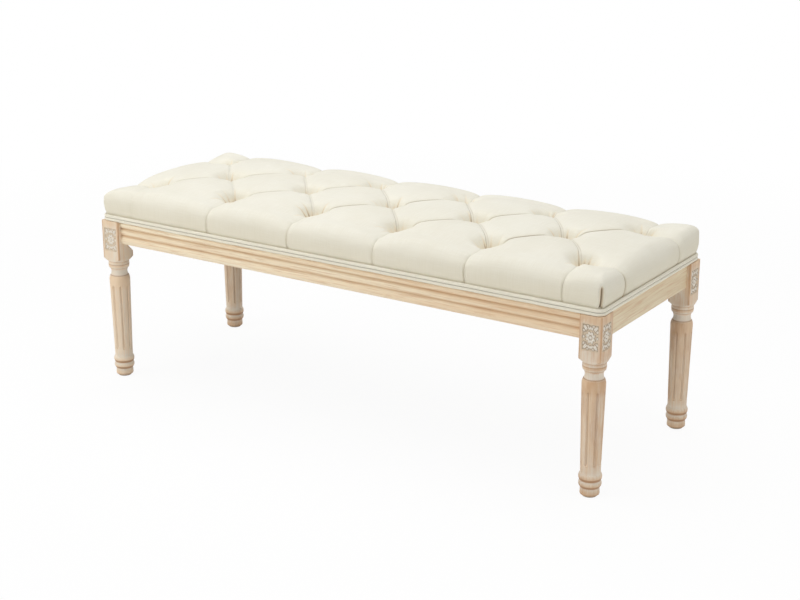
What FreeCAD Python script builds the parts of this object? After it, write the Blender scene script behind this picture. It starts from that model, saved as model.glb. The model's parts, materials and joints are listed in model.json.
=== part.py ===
import FreeCAD, Part
from collections import namedtuple
import math
import os
import Sketcher

# A long tufted bench on four turned and fluted legs, in millimetres.
# X runs along the bench, the front faces -Y, Z is up, and the origin is on the floor under the middle.

DRIVING = {
    # Overall size
    "bench_length": 1220,
    "bench_depth": 443,
    # Square posts at the top of the legs
    "post_side": 46,
    "post_top": 364,
    "post_easing": 1.5,
    "shoulder_low": 270,
    "shoulder_high": 279,
    "shoulder_radius": 22.5,
    # Turned part of the legs
    "glide_thick": 3,
    "glide_radius": 14,
    "nail_radius": 1.5,
    "nail_length": 14,
    "foot_radius": 19,
    "foot_waist": 18.5,
    "foot_edge": 3,
    "low_ring_start": 18.5,
    "low_ring_end": 32,
    "high_ring_start": 33,
    "high_ring_end": 48,
    "ring_groove_radius": 20.2,
    "ring_bulge": 2.7,
    "shaft_low_radius": 19.6,
    "shaft_high_radius": 22.8,
    "shaft_end": 227,
    "ovolo_end": 237,
    "ovolo_radius": 20.4,
    "ovolo_bulge": 0.7,
    "neck_radius": 19.8,
    "neck_end": 254,
    "neck_depth": 2.2,
    "collar_start": 255.5,
    "collar_radius": 21.8,
    "collar_bulge": 1.1,
    # Flutes along the shafts
    "flute_count": 8,
    "flute_low": 63,
    "flute_high": 216,
    "flute_radius": 3.2,
    "flute_depth": 2.3,
    # Carved panels on the outer faces of the posts
    "panel_width": 34,
    "panel_height": 52,
    "panel_level": 322,
    "panel_depth": 2.5,
    "panel_base": 1,
    "panel_gap": 0.2,
    # Rails
    "rail_height": 51,
    "rail_setback": 8,
    "rail_thick": 22,
    "rail_easing": 2,
    "bead_depth": 4.5,
    "first_groove_drop": 15,
    "second_groove_drop": 31,
    "cross_rail_place": 190,
    "cross_rail_height": 40,
    # Dowels
    "dowel_radius": 4,
    "dowel_length": 30,
    "dowel_low": 326,
    "dowel_high": 353,
    "cross_dowel_low": 333,
    "cross_dowel_buried": 12,
    # Corner blocks and leg bolts
    "bolt_flat": 22,
    "flat_low": 300,
    "flat_runout": 12,
    "block_thick": 26,
    "block_height": 42,
    "bolt_level": 342,
    "bolt_radius": 4,
    "bolt_buried": 36,
    "bolt_spare": 4,
    "washer_radius": 12,
    "washer_thick": 2,
    "nut_radius": 7.5,
    "nut_height": 6.5,
    # Screws
    "screw_radius": 2.25,
    "screw_head_radius": 4.25,
    "screw_head_height": 3,
    "screw_hole_radius": 5,
    "block_screw_place": 45,
    "block_screw_seat": 8,
    "block_screw_buried": 14,
    "deck_screw_diagonal": 35,
    "deck_screw_side": 16,
    "deck_screw_seat": 348,
    "deck_screw_buried": 10,
    "cross_screw_place": 120,
    # Seat deck, dust cover and welt
    "deck_thick": 15,
    "deck_corner": 10,
    "dust_cover_thick": 0.8,
    "dust_cover_gap": 1,
    "dust_cover_clip": 55,
    "welt_inset": 0,
    "welt_radius": 3.7,
    "welt_waist": 1.2,
    # Tufted cushion
    "cover_thick": 1.5,
    "cover_corner": 9,
    "hem_level": 365,
    "foam_gap": 0.3,
    "tuft_pitch": 210,
    "tuft_row_gap": 121,
    "tuft_flat": 11,
    "tuft_level": 408,
    "tie_radius": 1,
    "tie_hole_radius": 3,
    "button_radius": 10,
    "button_dome": 13,
    "pleat_level": 424,
    "pleat_half_width": 1.5,
    "crown_level": 446,
    "end_crown_level": 444,
    "edge_level": 439,
    "edge_pleat_level": 429,
    "side_level": 418,
    "side_lean": 2.5,
    "side_bulge": 5.5,
    "roll_depth": 22,
    "roll_bulge": 8,
    "end_roll": 22,
}

UP = FreeCAD.Vector(0, 0, 1)
ROOT_TWO = math.sqrt(2)
TINY = 1e-9

doc = FreeCAD.newDocument("tufted_bench")
sheet = doc.addObject("Spreadsheet::Sheet", "dims")
for row, (alias, value) in enumerate(DRIVING.items(), start=1):
    sheet.set(f"A{row}", alias)
    sheet.set(f"B{row}", str(value))
    sheet.setAlias(f"B{row}", alias)
doc.recompute()


class Size:
    """A length together with the sheet expression that gives it."""

    def __init__(self, value, text):
        self.value = value
        self.text = text

    @staticmethod
    def of(thing):
        if isinstance(thing, Size):
            return thing
        return Size(float(thing), f"({thing})")

    def __add__(self, other):
        other = Size.of(other)
        return Size(self.value + other.value, f"({self.text} + {other.text})")

    def __sub__(self, other):
        other = Size.of(other)
        return Size(self.value - other.value, f"({self.text} - {other.text})")

    def __mul__(self, other):
        other = Size.of(other)
        return Size(self.value * other.value, f"({self.text} * {other.text})")

    def __truediv__(self, other):
        other = Size.of(other)
        return Size(self.value / other.value, f"({self.text} / {other.text})")

    def __neg__(self):
        return Size(-self.value, f"(0 - {self.text})")


class Cells:
    """The sheet's cells as sizes, read by alias."""

    def __getattr__(self, alias):
        return Size(float(sheet.get(alias)), f"dims.{alias}")


cell = Cells()
ZERO = Size.of(0)
nodes = []


def keep(item, label):
    """Names a finished sub-part and puts it on the list to write."""
    item.Label = label
    nodes.append(item)
    return item


def bind(item, name, size):
    """Ties one property of an object to the sheet."""
    item.setExpression(name, Size.of(size).text)


def place(item, x=ZERO, y=ZERO, z=ZERO, rotation=FreeCAD.Rotation()):
    """Puts an object at a point that follows the sheet."""
    item.Placement = FreeCAD.Placement(FreeCAD.Vector(x.value, y.value, z.value), rotation)
    bind(item, "Placement.Base.x", x)
    bind(item, "Placement.Base.y", y)
    bind(item, "Placement.Base.z", z)


# Sketch helpers

def hold(sketch, kind, *where, size):
    """Adds a sized constraint to a sketch and ties it to the sheet."""
    number = sketch.addConstraint(Sketcher.Constraint(kind, *where, size.value))
    bind(sketch, f"Constraints[{number}]", size)


def pin_corner(sketch, edge, end, x, y):
    """Fixes one corner of an outline from the sketch's origin."""
    for size, kind, axis in ((x, "DistanceX", -2), (y, "DistanceY", -1)):
        if abs(size.value) < TINY:
            sketch.addConstraint(Sketcher.Constraint("PointOnObject", edge, end, axis))
        else:
            hold(sketch, kind, -1, 1, edge, end, size=size)


def draw_outline(sketch, corners):
    """Draws a closed outline of lines and arcs.

    A corner is (x, y), and a third value is the rise of the arc to the next corner over its chord:
    positive to the left of travel, negative to the right.
    """
    corners = [tuple(Size.of(value) for value in corner) for corner in corners]
    ends = []
    for edge, corner in enumerate(corners):
        after = corners[(edge + 1) % len(corners)]
        begin = FreeCAD.Vector(corner[0].value, corner[1].value, 0)
        finish = FreeCAD.Vector(after[0].value, after[1].value, 0)
        if len(corner) == 2:
            sketch.addGeometry(Part.LineSegment(begin, finish), False)
            ends.append((1, 2))
            continue
        along = finish - begin
        rise = corner[2]
        left = FreeCAD.Vector(-along.y, along.x, 0).normalize()
        radius = (along.Length ** 2 / 4 + rise.value ** 2) / (2 * abs(rise.value))
        reach = rise.value - math.copysign(radius, rise.value)
        centre = (begin + finish) * 0.5 + left * reach
        angles = [math.atan2(point.y - centre.y, point.x - centre.x) for point in (begin, finish)]
        ends.append((1, 2))
        if rise.value > 0:
            angles.reverse()
            ends[-1] = (2, 1)
        circle = Part.Circle(centre, UP, radius)
        sketch.addGeometry(Part.ArcOfCircle(circle, *angles), False)
    for edge, corner in enumerate(corners):
        sketch.addConstraint(Sketcher.Constraint("Coincident", edge - 1 if edge else len(corners) - 1,
                                                 ends[edge - 1][1], edge, ends[edge][0]))
        pin_corner(sketch, edge, ends[edge][0], corner[0], corner[1])
    for edge, corner in enumerate(corners):
        if len(corner) == 2:
            continue
        after = corners[(edge + 1) % len(corners)]
        wide = after[0] - corner[0]
        high = after[1] - corner[1]
        rise = corner[2] if corner[2].value > 0 else -corner[2]
        radius = ((wide * wide + high * high) / 4 + rise * rise) / (rise * 2)
        hold(sketch, "Radius", edge, size=radius)


def sketch_on(body, name, role, corners, lift=ZERO, turn=0):
    """Makes a sketch on one of a body's own origin planes, lifted or turned about its y."""
    sketch = body.newObject("Sketcher::SketchObject", name)
    plane = next(item for item in body.Origin.OriginFeatures if item.Role == role)
    sketch.AttachmentSupport = [(plane, "")]
    sketch.MapMode = "FlatFace"
    turned = FreeCAD.Rotation(FreeCAD.Vector(0, 1, 0), turn)
    sketch.AttachmentOffset = FreeCAD.Placement(FreeCAD.Vector(0, 0, lift.value), turned)
    bind(sketch, "AttachmentOffset.Base.z", lift)
    draw_outline(sketch, corners)
    return sketch


def rectangle(half_wide, low, high):
    """Gives the corners of an upright rectangle centred on the sketch's y axis."""
    return [(-half_wide, low), (half_wide, low), (half_wide, high), (-half_wide, high)]


def rounded_rectangle(half_wide, half_deep, radius):
    """Gives the corners of a rectangle with round corners, starting at the middle of its +y side."""
    rise = radius * (1 - 1 / ROOT_TWO)
    flat_x = half_wide - radius
    flat_y = half_deep - radius
    return [
        (0, half_deep), (-flat_x, half_deep, -rise),
        (-half_wide, flat_y), (-half_wide, -flat_y, -rise),
        (-flat_x, -half_deep), (flat_x, -half_deep, -rise),
        (half_wide, -flat_y), (half_wide, flat_y, -rise),
        (flat_x, half_deep),
    ]


# Feature helpers

def new_body(name):
    """Makes an empty body."""
    return doc.addObject("PartDesign::Body", name)


def extrude(body, kind, name, sketch, length, symmetric=False):
    """Adds a Pad or a Pocket of a sketch to a body."""
    feature = body.newObject(f"PartDesign::{kind}", name)
    feature.Profile = sketch
    feature.SideType = "Symmetric" if symmetric else "One side"
    bind(feature, "Length", length)
    return feature


def turn_round(body, kind, name, sketch, axis="V_Axis"):
    """Adds a full Revolution or Groove of a sketch to a body."""
    feature = body.newObject(f"PartDesign::{kind}", name)
    feature.Profile = sketch
    feature.ReferenceAxis = (sketch, [axis])
    feature.Angle = 360
    return feature


def cylinder(name, radius, height, base, axis=UP):
    """Makes a cylinder that stands on a point and runs along an axis."""
    item = doc.addObject("Part::Cylinder", name)
    bind(item, "Radius", radius)
    bind(item, "Height", height)
    place(item, *base, rotation=FreeCAD.Rotation(UP, axis))
    return item


def group(name, items):
    """Gathers separate solids into one object."""
    item = doc.addObject("Part::Compound", name)
    item.Links = items
    return item


def cut(name, base, tools):
    """Takes other solids out of a base."""
    item = doc.addObject("Part::Cut", name)
    item.Base = base
    item.Tool = tools[0] if len(tools) == 1 else group(f"{name}_tools", tools)
    return item


def fuse(name, items):
    """Joins solids into one."""
    item = doc.addObject("Part::MultiFuse", name)
    item.Shapes = items
    return item


# Derived sizes
half_length = cell.bench_length / 2
half_depth = cell.bench_depth / 2
half_post = cell.post_side / 2
rail_low = cell.post_top - cell.rail_height
rail_face = half_post - cell.rail_setback
rail_back = cell.rail_thick - rail_face
rail_inner_x = half_length - cell.rail_setback - cell.rail_thick
rail_inner_y = half_depth - cell.rail_setback - cell.rail_thick
deck_top = cell.post_top + cell.deck_thick
cross_rail_top = cell.post_top - cell.dust_cover_thick
block_far = cell.bolt_flat + cell.block_thick
block_low = cell.post_top - cell.block_height
cover_inset = cell.welt_inset + cell.welt_radius * 2
cover_half_length = half_length - cover_inset
cover_half_depth = half_depth - cover_inset
half_pitch = cell.tuft_pitch / 2


class Corner:
    """One corner of the bench, with its leg's own frame.

    In that frame the leg's axis is the origin and the outer faces of its post look along -Y and +X.
    """

    def __init__(self, name, side_x, side_y, quarter_turns):
        self.name = name
        self.side_x = side_x
        self.side_y = side_y
        self.quarter_turns = quarter_turns
        self.rotation = FreeCAD.Rotation(UP, 90 * quarter_turns)

    def point(self, x, y):
        """Gives the bench's x and y for a point in the leg's frame."""
        turned = ((x, y), (-y, x), (-x, -y), (y, -x))[self.quarter_turns]
        centre_x = (half_length - half_post) * self.side_x
        centre_y = (half_depth - half_post) * self.side_y
        return centre_x + turned[0], centre_y + turned[1]

    def direction(self, x, y):
        """Gives the bench's direction for one in the leg's frame."""
        return self.rotation.multVec(FreeCAD.Vector(x, y, 0))


CORNERS = [
    Corner("front_right", 1, -1, 0),
    Corner("rear_right", 1, 1, 1),
    Corner("rear_left", -1, 1, 2),
    Corner("front_left", -1, -1, 3),
]
SIDES = ((1, "right"), (-1, "left"))
FACES = ((-1, "front"), (1, "rear"))
HALF_TURN = FreeCAD.Rotation(UP, 180)
DIAGONAL_TURN = 135
LEAF_TURN = 50
BOSS_SHARE = 0.3
Petal = namedtuple("Petal", "place length width")
TALL_PETAL = Petal(place=0.52, length=0.42, width=0.3)
SIDE_PETAL = Petal(place=0.58, length=0.4, width=0.17)
CORNER_LEAF = Petal(place=0.62, length=0.3, width=0.2)


# Fasteners, made first because the pieces that they go through are cut to fit them

def make_rail_dowels():
    """Makes the two dowels at each end of the four rails."""
    start = half_post + cell.dowel_length / 2
    across = rail_face - cell.rail_thick / 2
    dowels = []
    for corner in CORNERS:
        for level in (cell.dowel_low, cell.dowel_high):
            runs = ((corner.point(-start, -across), corner.direction(1, 0)),
                    (corner.point(across, start), corner.direction(0, -1)))
            for base, axis in runs:
                spot = (*base, level)
                dowels.append(cylinder("rail_dowel", cell.dowel_radius, cell.dowel_length, spot, axis))
    return keep(group("rail_dowel_set", dowels), "rail_dowels")


def make_cross_dowels():
    """Makes the two dowels at each end of the two cross rails."""
    dowels = []
    for side, _ in SIDES:
        for face, _ in FACES:
            for level in (cell.cross_dowel_low, cell.dowel_high):
                across = (rail_inner_y + cell.cross_dowel_buried) * face
                base = (cell.cross_rail_place * side, across, level)
                axis = FreeCAD.Vector(0, -face, 0)
                dowels.append(cylinder("cross_dowel", cell.dowel_radius, cell.dowel_length, base, axis))
    return keep(group("cross_dowel_set", dowels), "cross_rail_dowels")


def make_leg_bolts():
    """Makes the hanger bolts, one through each corner block on the diagonal, with washers and nuts."""
    bolts = []
    discs = []
    hexagons = []
    grip = block_far + cell.washer_thick
    length = cell.bolt_buried + cell.block_thick + cell.washer_thick + cell.nut_height + cell.bolt_spare
    deep = cell.bolt_flat - cell.bolt_buried
    for corner in CORNERS:
        axis = corner.direction(-1, 1)
        along = [(*corner.point(-reach / ROOT_TWO, reach / ROOT_TWO), cell.bolt_level)
                 for reach in (deep, block_far, grip)]
        bolts.append(cylinder("leg_bolt", cell.bolt_radius, length, along[0], axis))
        discs.append(cylinder("washer_disc", cell.washer_radius, cell.washer_thick, along[1], axis))
        hexagon = doc.addObject("Part::Prism", "nut_hexagon")
        hexagon.Polygon = 6
        bind(hexagon, "Circumradius", cell.nut_radius)
        bind(hexagon, "Height", cell.nut_height)
        place(hexagon, *along[2], rotation=FreeCAD.Rotation(UP, axis))
        hexagons.append(hexagon)
    bolt_set = keep(group("leg_bolt_set", bolts), "leg_bolts")
    keep(cut("washer_rings", group("washer_discs", discs), [bolt_set]), "leg_washers")
    keep(cut("nut_rings", group("nut_hexagons", hexagons), [bolt_set]), "leg_nuts")
    return bolt_set


def make_screw(seat, axis, length, hole_depth):
    """Makes a pan head screw and the hole that its head sits in.

    The seat is the point under the head, and the axis points into the work.
    """
    back = axis * -1
    shank = cylinder("screw_shank", cell.screw_radius, length, seat, axis)
    head = cylinder("screw_head", cell.screw_head_radius, cell.screw_head_height, seat, back)
    hole = cylinder("screw_hole", cell.screw_hole_radius, hole_depth, seat, back)
    return fuse("screw", [shank, head]), hole


def make_block_screws():
    """Makes the two screws that hold each corner block to its rails."""
    screws = []
    holes = []
    seat = rail_back + cell.block_screw_seat
    length = cell.block_screw_seat + cell.block_screw_buried
    for corner in CORNERS:
        runs = ((corner.point(-cell.block_screw_place, seat), corner.direction(0, -1)),
                (corner.point(-seat, cell.block_screw_place), corner.direction(1, 0)))
        for base, axis in runs:
            screw, hole = make_screw((*base, cell.bolt_level), axis, length, cell.block_thick)
            screws.append(screw)
            holes.append(hole)
    return keep(group("block_screw_set", screws), "block_screws"), group("block_screw_holes", holes)


def make_deck_screws():
    """Makes the screws that hold the deck down, through the corner blocks and the cross rails."""
    screws = []
    holes = []
    places = []
    near = (cell.deck_screw_diagonal - cell.deck_screw_side) / ROOT_TWO
    far = (cell.deck_screw_diagonal + cell.deck_screw_side) / ROOT_TWO
    for corner in CORNERS:
        places.append(corner.point(-near, far))
        places.append(corner.point(-far, near))
    for side, _ in SIDES:
        for face, _ in FACES:
            places.append((cell.cross_rail_place * side, cell.cross_screw_place * face))
    length = cell.post_top + cell.deck_screw_buried - cell.deck_screw_seat
    for base in places:
        screw, hole = make_screw((*base, cell.deck_screw_seat), UP, length, cell.block_height)
        screws.append(screw)
        holes.append(hole)
    return keep(group("deck_screw_set", screws), "deck_screws"), group("deck_screw_holes", holes)


def tuft_places():
    """Gives the middle of each tuft: rows of six, five and six, half a pitch apart."""
    places = []
    for row, count in ((-1, 6), (0, 5), (1, 6)):
        for number in range(count):
            along = number - (count - 1) / 2
            places.append((cell.tuft_pitch * along, cell.tuft_row_gap * row))
    return places


def make_tuft_ties():
    """Makes the ties from the underside of the deck up to the buttons, and the holes they pass through."""
    length = cell.tuft_level - cell.post_top
    ties = [cylinder("tuft_tie", cell.tie_radius, length, (*spot, cell.post_top)) for spot in tuft_places()]
    holes = [cylinder("tie_hole", cell.tie_hole_radius, length * 2, (*spot, cell.post_top - length / 2))
             for spot in tuft_places()]
    keep(group("tuft_tie_set", ties), "tuft_ties")
    return group("tie_holes", holes)


def make_tuft_buttons():
    """Makes the low domed buttons, each the cap of a sphere that stands on its tuft."""
    lift = math.acos(cell.button_radius.value / cell.button_dome.value)
    rise = cell.button_dome * math.sin(lift)
    buttons = []
    for spot in tuft_places():
        button = doc.addObject("Part::Sphere", "tuft_button")
        bind(button, "Radius", cell.button_dome)
        bind(button, "Angle1", Size(math.degrees(lift), "acos(dims.button_radius / dims.button_dome)"))
        button.Angle2 = 90
        place(button, *spot, cell.tuft_level - rise)
        buttons.append(button)
    keep(group("tuft_button_set", buttons), "tuft_buttons")


# Legs

def turned_profile():
    """Gives the half outline of the turned part of a leg, from the foot up to inside the post."""
    bottom = cell.glide_thick
    inside = cell.ring_groove_radius
    return [
        (0, bottom),
        (cell.foot_radius - cell.foot_edge, bottom, -cell.foot_edge * (1 - 1 / ROOT_TWO)),
        (cell.foot_radius, bottom + cell.foot_edge),
        (cell.foot_waist, cell.low_ring_start, -cell.ring_bulge),
        (inside, cell.low_ring_end),
        (inside, cell.high_ring_start, -cell.ring_bulge),
        (cell.shaft_low_radius, cell.high_ring_end),
        (cell.shaft_high_radius, cell.shaft_end, -cell.ovolo_bulge),
        (cell.ovolo_radius, cell.ovolo_end),
        (cell.neck_radius, cell.ovolo_end, cell.neck_depth),
        (cell.neck_radius, cell.neck_end),
        (cell.collar_radius, cell.collar_start, -cell.collar_bulge),
        (cell.collar_radius, cell.shoulder_low),
        (cell.neck_radius, cell.shoulder_low),
        (cell.neck_radius, cell.shoulder_high),
        (0, cell.shoulder_high),
    ]


def add_flutes(body, turning):
    """Cuts the thin flutes: a slim spindle with pointed ends, sunk in the shaft and repeated round it."""
    slope = (cell.shaft_high_radius - cell.shaft_low_radius) / (cell.shaft_end - cell.high_ring_end)
    lift = cell.flute_radius - cell.flute_depth
    low_radius = cell.shaft_low_radius + slope * (cell.flute_low - cell.high_ring_end) + lift
    high_radius = cell.shaft_low_radius + slope * (cell.flute_high - cell.high_ring_end) + lift
    outline = [
        (low_radius, cell.flute_low),
        (high_radius, cell.flute_high),
        (high_radius - cell.flute_radius, cell.flute_high - cell.flute_radius),
        (low_radius - cell.flute_radius, cell.flute_low + cell.flute_radius),
    ]
    sketch = sketch_on(body, "flute_sketch", "XZ_Plane", outline)
    ends = [FreeCAD.Vector(corner[0].value, corner[1].value, 0) for corner in outline[:2]]
    axis = sketch.addGeometry(Part.LineSegment(*ends), True)
    for end in (1, 2):
        sketch.addConstraint(Sketcher.Constraint("Coincident", axis, end, 0, end))
    flute = turn_round(body, "Groove", "flute", sketch, "Axis0")
    doc.recompute()
    pattern = body.newObject("PartDesign::PolarPattern", "flutes")
    pattern.Originals = [flute]
    pattern.Axis = (turning, ["V_Axis"])
    pattern.Angle = 360
    bind(pattern, "Occurrences", cell.flute_count)
    body.Tip = pattern


def make_leg(corner, tools):
    """Makes one leg: a turned and fluted column under a square post with two sunk panels."""
    body = new_body(f"{corner.name}_leg_body")
    turning = sketch_on(body, "turning", "XZ_Plane", turned_profile())
    turn_round(body, "Revolution", "column", turning)
    easing = cell.post_easing
    square = rounded_rectangle(half_post, half_post, easing)
    post_sketch = sketch_on(body, "post_sketch", "XY_Plane", square, lift=cell.shoulder_low)
    extrude(body, "Pad", "post", post_sketch, cell.post_top - cell.shoulder_low)
    slope = (cell.shoulder_high - cell.shoulder_low) / (half_post * ROOT_TWO - cell.shoulder_radius)
    wide = cell.post_side
    cone = [
        (cell.shoulder_radius, cell.shoulder_low),
        (wide, cell.shoulder_low),
        (wide, cell.shoulder_low + slope * (wide - cell.shoulder_radius)),
    ]
    turn_round(body, "Groove", "shoulder", sketch_on(body, "shoulder_sketch", "XZ_Plane", cone))
    over = cell.post_top + cell.flat_runout
    outside = cell.bolt_flat + cell.flat_runout
    flat = [
        (cell.bolt_flat, cell.flat_low),
        (outside, cell.flat_low - cell.flat_runout),
        (outside, over),
        (cell.bolt_flat, over),
    ]
    flat_sketch = sketch_on(body, "flat_sketch", "XZ_Plane", flat, turn=DIAGONAL_TURN)
    extrude(body, "Pocket", "bolt_seat", flat_sketch, cell.post_side * 2, symmetric=True)
    half_height = cell.panel_height / 2
    panel = rectangle(cell.panel_width / 2, cell.panel_level - half_height, cell.panel_level + half_height)
    for name, role in (("front_panel", "XZ_Plane"), ("end_panel", "YZ_Plane")):
        panel_sketch = sketch_on(body, f"{name}_sketch", role, panel, lift=half_post)
        extrude(body, "Pocket", name, panel_sketch, cell.panel_depth)
    add_flutes(body, turning)
    place(body, *corner.point(ZERO, ZERO), rotation=corner.rotation)
    return keep(cut(f"{corner.name}_leg_cut", body, tools), f"{corner.name}_leg")


def make_glide(corner):
    """Makes a nail-on glide under a foot: a flat disc with a nail up the middle of the leg."""
    spot = corner.point(ZERO, ZERO)
    disc = cylinder("glide_disc", cell.glide_radius, cell.glide_thick, (*spot, ZERO))
    nail = cylinder("glide_nail", cell.nail_radius, cell.glide_thick + cell.nail_length, (*spot, ZERO))
    return keep(fuse(f"{corner.name}_glide_body", [disc, nail]), f"{corner.name}_glide")


def make_rosettes():
    """Makes the carved panels: a thin base with a flower of petals, corner leaves and a boss."""
    base = doc.addObject("Part::Box", "panel_base")
    width = cell.panel_width - cell.panel_gap * 2
    height = cell.panel_height - cell.panel_gap * 2
    bind(base, "Length", width)
    bind(base, "Width", height)
    bind(base, "Height", cell.panel_base)
    place(base, -width / 2, -height / 2)
    petals = []
    long_half = height / 2
    short_half = width / 2
    # Each petal has its place across and up the panel, half length, half width and turn
    petal_shapes = [(ZERO, ZERO, short_half * BOSS_SHARE, short_half * BOSS_SHARE, 0)]
    for sign in (1, -1):
        spot = (ZERO, long_half * (TALL_PETAL.place * sign))
        petal_shapes.append((*spot, long_half * TALL_PETAL.length, short_half * TALL_PETAL.width, 90))
        spot = (short_half * (SIDE_PETAL.place * sign), ZERO)
        petal_shapes.append((*spot, short_half * SIDE_PETAL.length, long_half * SIDE_PETAL.width, 0))
        for other in (1, -1):
            spot = (short_half * (SIDE_PETAL.place * sign), long_half * (CORNER_LEAF.place * sign * other))
            size = (long_half * CORNER_LEAF.length, short_half * CORNER_LEAF.width)
            petal_shapes.append((*spot, *size, LEAF_TURN * other))
    for x, y, half_long, half_wide, turn in petal_shapes:
        petal = doc.addObject("Part::Ellipsoid", "petal")
        bind(petal, "Radius1", cell.panel_depth - cell.panel_base)
        bind(petal, "Radius2", half_long)
        bind(petal, "Radius3", half_wide)
        petal.Angle1 = 0
        place(petal, x, y, cell.panel_base, FreeCAD.Rotation(UP, turn))
        petals.append(petal)
    carving = fuse("rosette_carving", [base] + petals)
    doc.recompute()
    links = []
    deep = half_post - cell.panel_depth
    upright = FreeCAD.Rotation(FreeCAD.Vector(1, 0, 0), 90)
    for corner in CORNERS:
        quarter = FreeCAD.Rotation(UP, 90)
        faces = ((corner.point(ZERO, -deep), upright), (corner.point(deep, ZERO), quarter * upright))
        for spot, turned in faces:
            link = doc.addObject("App::Link", "rosette")
            link.LinkedObject = carving
            place(link, *spot, cell.panel_level, corner.rotation * turned)
            links.append(link)
    keep(group("rosette_set", links), "carved_rosettes")


# Rails and blocks

def make_long_rail(name, rotation, tools):
    """Makes the front or the rear rail: three beads with two grooves between them along its outer face."""
    body = new_body(f"{name}_body")
    groove_face = half_depth - cell.rail_setback - cell.bead_depth
    levels = [rail_low, cell.post_top - cell.second_groove_drop, cell.post_top - cell.first_groove_drop]
    outline = [(rail_inner_y, rail_low)]
    outline += [(groove_face, level, -cell.bead_depth) for level in levels]
    outline += [(groove_face, cell.post_top), (rail_inner_y, cell.post_top)]
    sketch = sketch_on(body, "rail_sketch", "YZ_Plane", outline)
    extrude(body, "Pad", "rail", sketch, cell.bench_length - cell.post_side * 2, symmetric=True)
    body.Placement = FreeCAD.Placement(FreeCAD.Vector(), rotation)
    keep(cut(f"{name}_cut", body, tools), name)


def make_end_rail(name, rotation, tools):
    """Makes a plain end rail with an eased lower edge."""
    body = new_body(f"{name}_body")
    face = half_length - cell.rail_setback
    ease = cell.rail_easing
    outline = [
        (rail_inner_x, rail_low),
        (face - ease, rail_low, -ease * (1 - 1 / ROOT_TWO)),
        (face, rail_low + ease),
        (face, cell.post_top),
        (rail_inner_x, cell.post_top),
    ]
    sketch = sketch_on(body, "rail_sketch", "XZ_Plane", outline)
    extrude(body, "Pad", "rail", sketch, cell.bench_depth - cell.post_side * 2, symmetric=True)
    body.Placement = FreeCAD.Placement(FreeCAD.Vector(), rotation)
    keep(cut(f"{name}_cut", body, tools), name)


def make_cross_rail(name, side, tools):
    """Makes a plain cross rail between the front and rear rails."""
    box = doc.addObject("Part::Box", f"{name}_box")
    bind(box, "Length", cell.rail_thick)
    bind(box, "Width", rail_inner_y * 2)
    bind(box, "Height", cell.cross_rail_height)
    place(box, cell.cross_rail_place * side - cell.rail_thick / 2, -rail_inner_y,
          cross_rail_top - cell.cross_rail_height)
    keep(cut(f"{name}_cut", box, tools), name)


def make_corner_block(corner, tools):
    """Makes a corner block: a bar across the corner, cut to sit on both rails and on the post's flat."""
    body = new_body(f"{corner.name}_block_body")
    near = cell.bolt_flat * ROOT_TWO - rail_back
    far = block_far * ROOT_TWO - rail_back
    outline = [
        (-near, rail_back),
        (-rail_back, near),
        (-rail_back, far),
        (-far, rail_back),
    ]
    sketch = sketch_on(body, "block_sketch", "XY_Plane", outline, lift=block_low)
    extrude(body, "Pad", "block", sketch, cell.block_height)
    place(body, *corner.point(ZERO, ZERO), rotation=corner.rotation)
    keep(cut(f"{corner.name}_block_cut", body, tools), f"{corner.name}_corner_block")


# Seat

def make_deck(tools):
    """Makes the seat deck, a board with round corners and a hole for each tuft tie."""
    body = new_body("deck_body")
    outline = rounded_rectangle(cover_half_length - cell.cover_thick, cover_half_depth - cell.cover_thick,
                                cell.deck_corner)
    sketch = sketch_on(body, "deck_sketch", "XY_Plane", outline, lift=cell.post_top)
    extrude(body, "Pad", "deck", sketch, cell.deck_thick)
    keep(cut("deck_cut", body, tools), "seat_deck")


def make_dust_cover():
    """Makes the thin sheet under the deck, inside the rails and clear of the corner blocks."""
    body = new_body("dust_cover_body")
    wide = rail_inner_x - cell.dust_cover_gap
    deep = rail_inner_y - cell.dust_cover_gap
    clip = cell.dust_cover_clip
    outline = [
        (-wide + clip, -deep), (wide - clip, -deep), (wide, -deep + clip), (wide, deep - clip),
        (wide - clip, deep), (-wide + clip, deep), (-wide, deep - clip), (-wide, -deep + clip),
    ]
    sketch = sketch_on(body, "dust_cover_sketch", "XY_Plane", outline, lift=cross_rail_top)
    extrude(body, "Pad", "dust_cover_pad", sketch, cell.dust_cover_thick)
    keep(body, "dust_cover")


def make_welt():
    """Makes the double welt: two round cords joined side by side, carried round the foot of the cover."""
    body = new_body("welt_body")
    centre = cover_half_depth + cell.welt_radius
    bend = cell.cover_corner + cell.welt_radius
    path = rounded_rectangle(cover_half_length + cell.welt_radius, centre, bend)
    half_step = math.sqrt(cell.welt_radius.value ** 2 - cell.welt_waist.value ** 2)
    step = Size(half_step, "sqrt(dims.welt_radius * dims.welt_radius - dims.welt_waist * dims.welt_waist)")
    waist_level = cell.post_top + cell.welt_radius + step
    path_sketch = sketch_on(body, "welt_path", "XY_Plane", path, lift=waist_level)
    lobe = step + cell.welt_radius
    section = [
        (centre + cell.welt_waist, waist_level, lobe),
        (centre - cell.welt_waist, waist_level, lobe),
    ]
    section_sketch = sketch_on(body, "welt_section", "YZ_Plane", section)
    pipe = body.newObject("PartDesign::AdditivePipe", "welt_pipe")
    pipe.Profile = section_sketch
    pipe.Spine = (path_sketch, [])
    keep(body, "double_welt")


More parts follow.
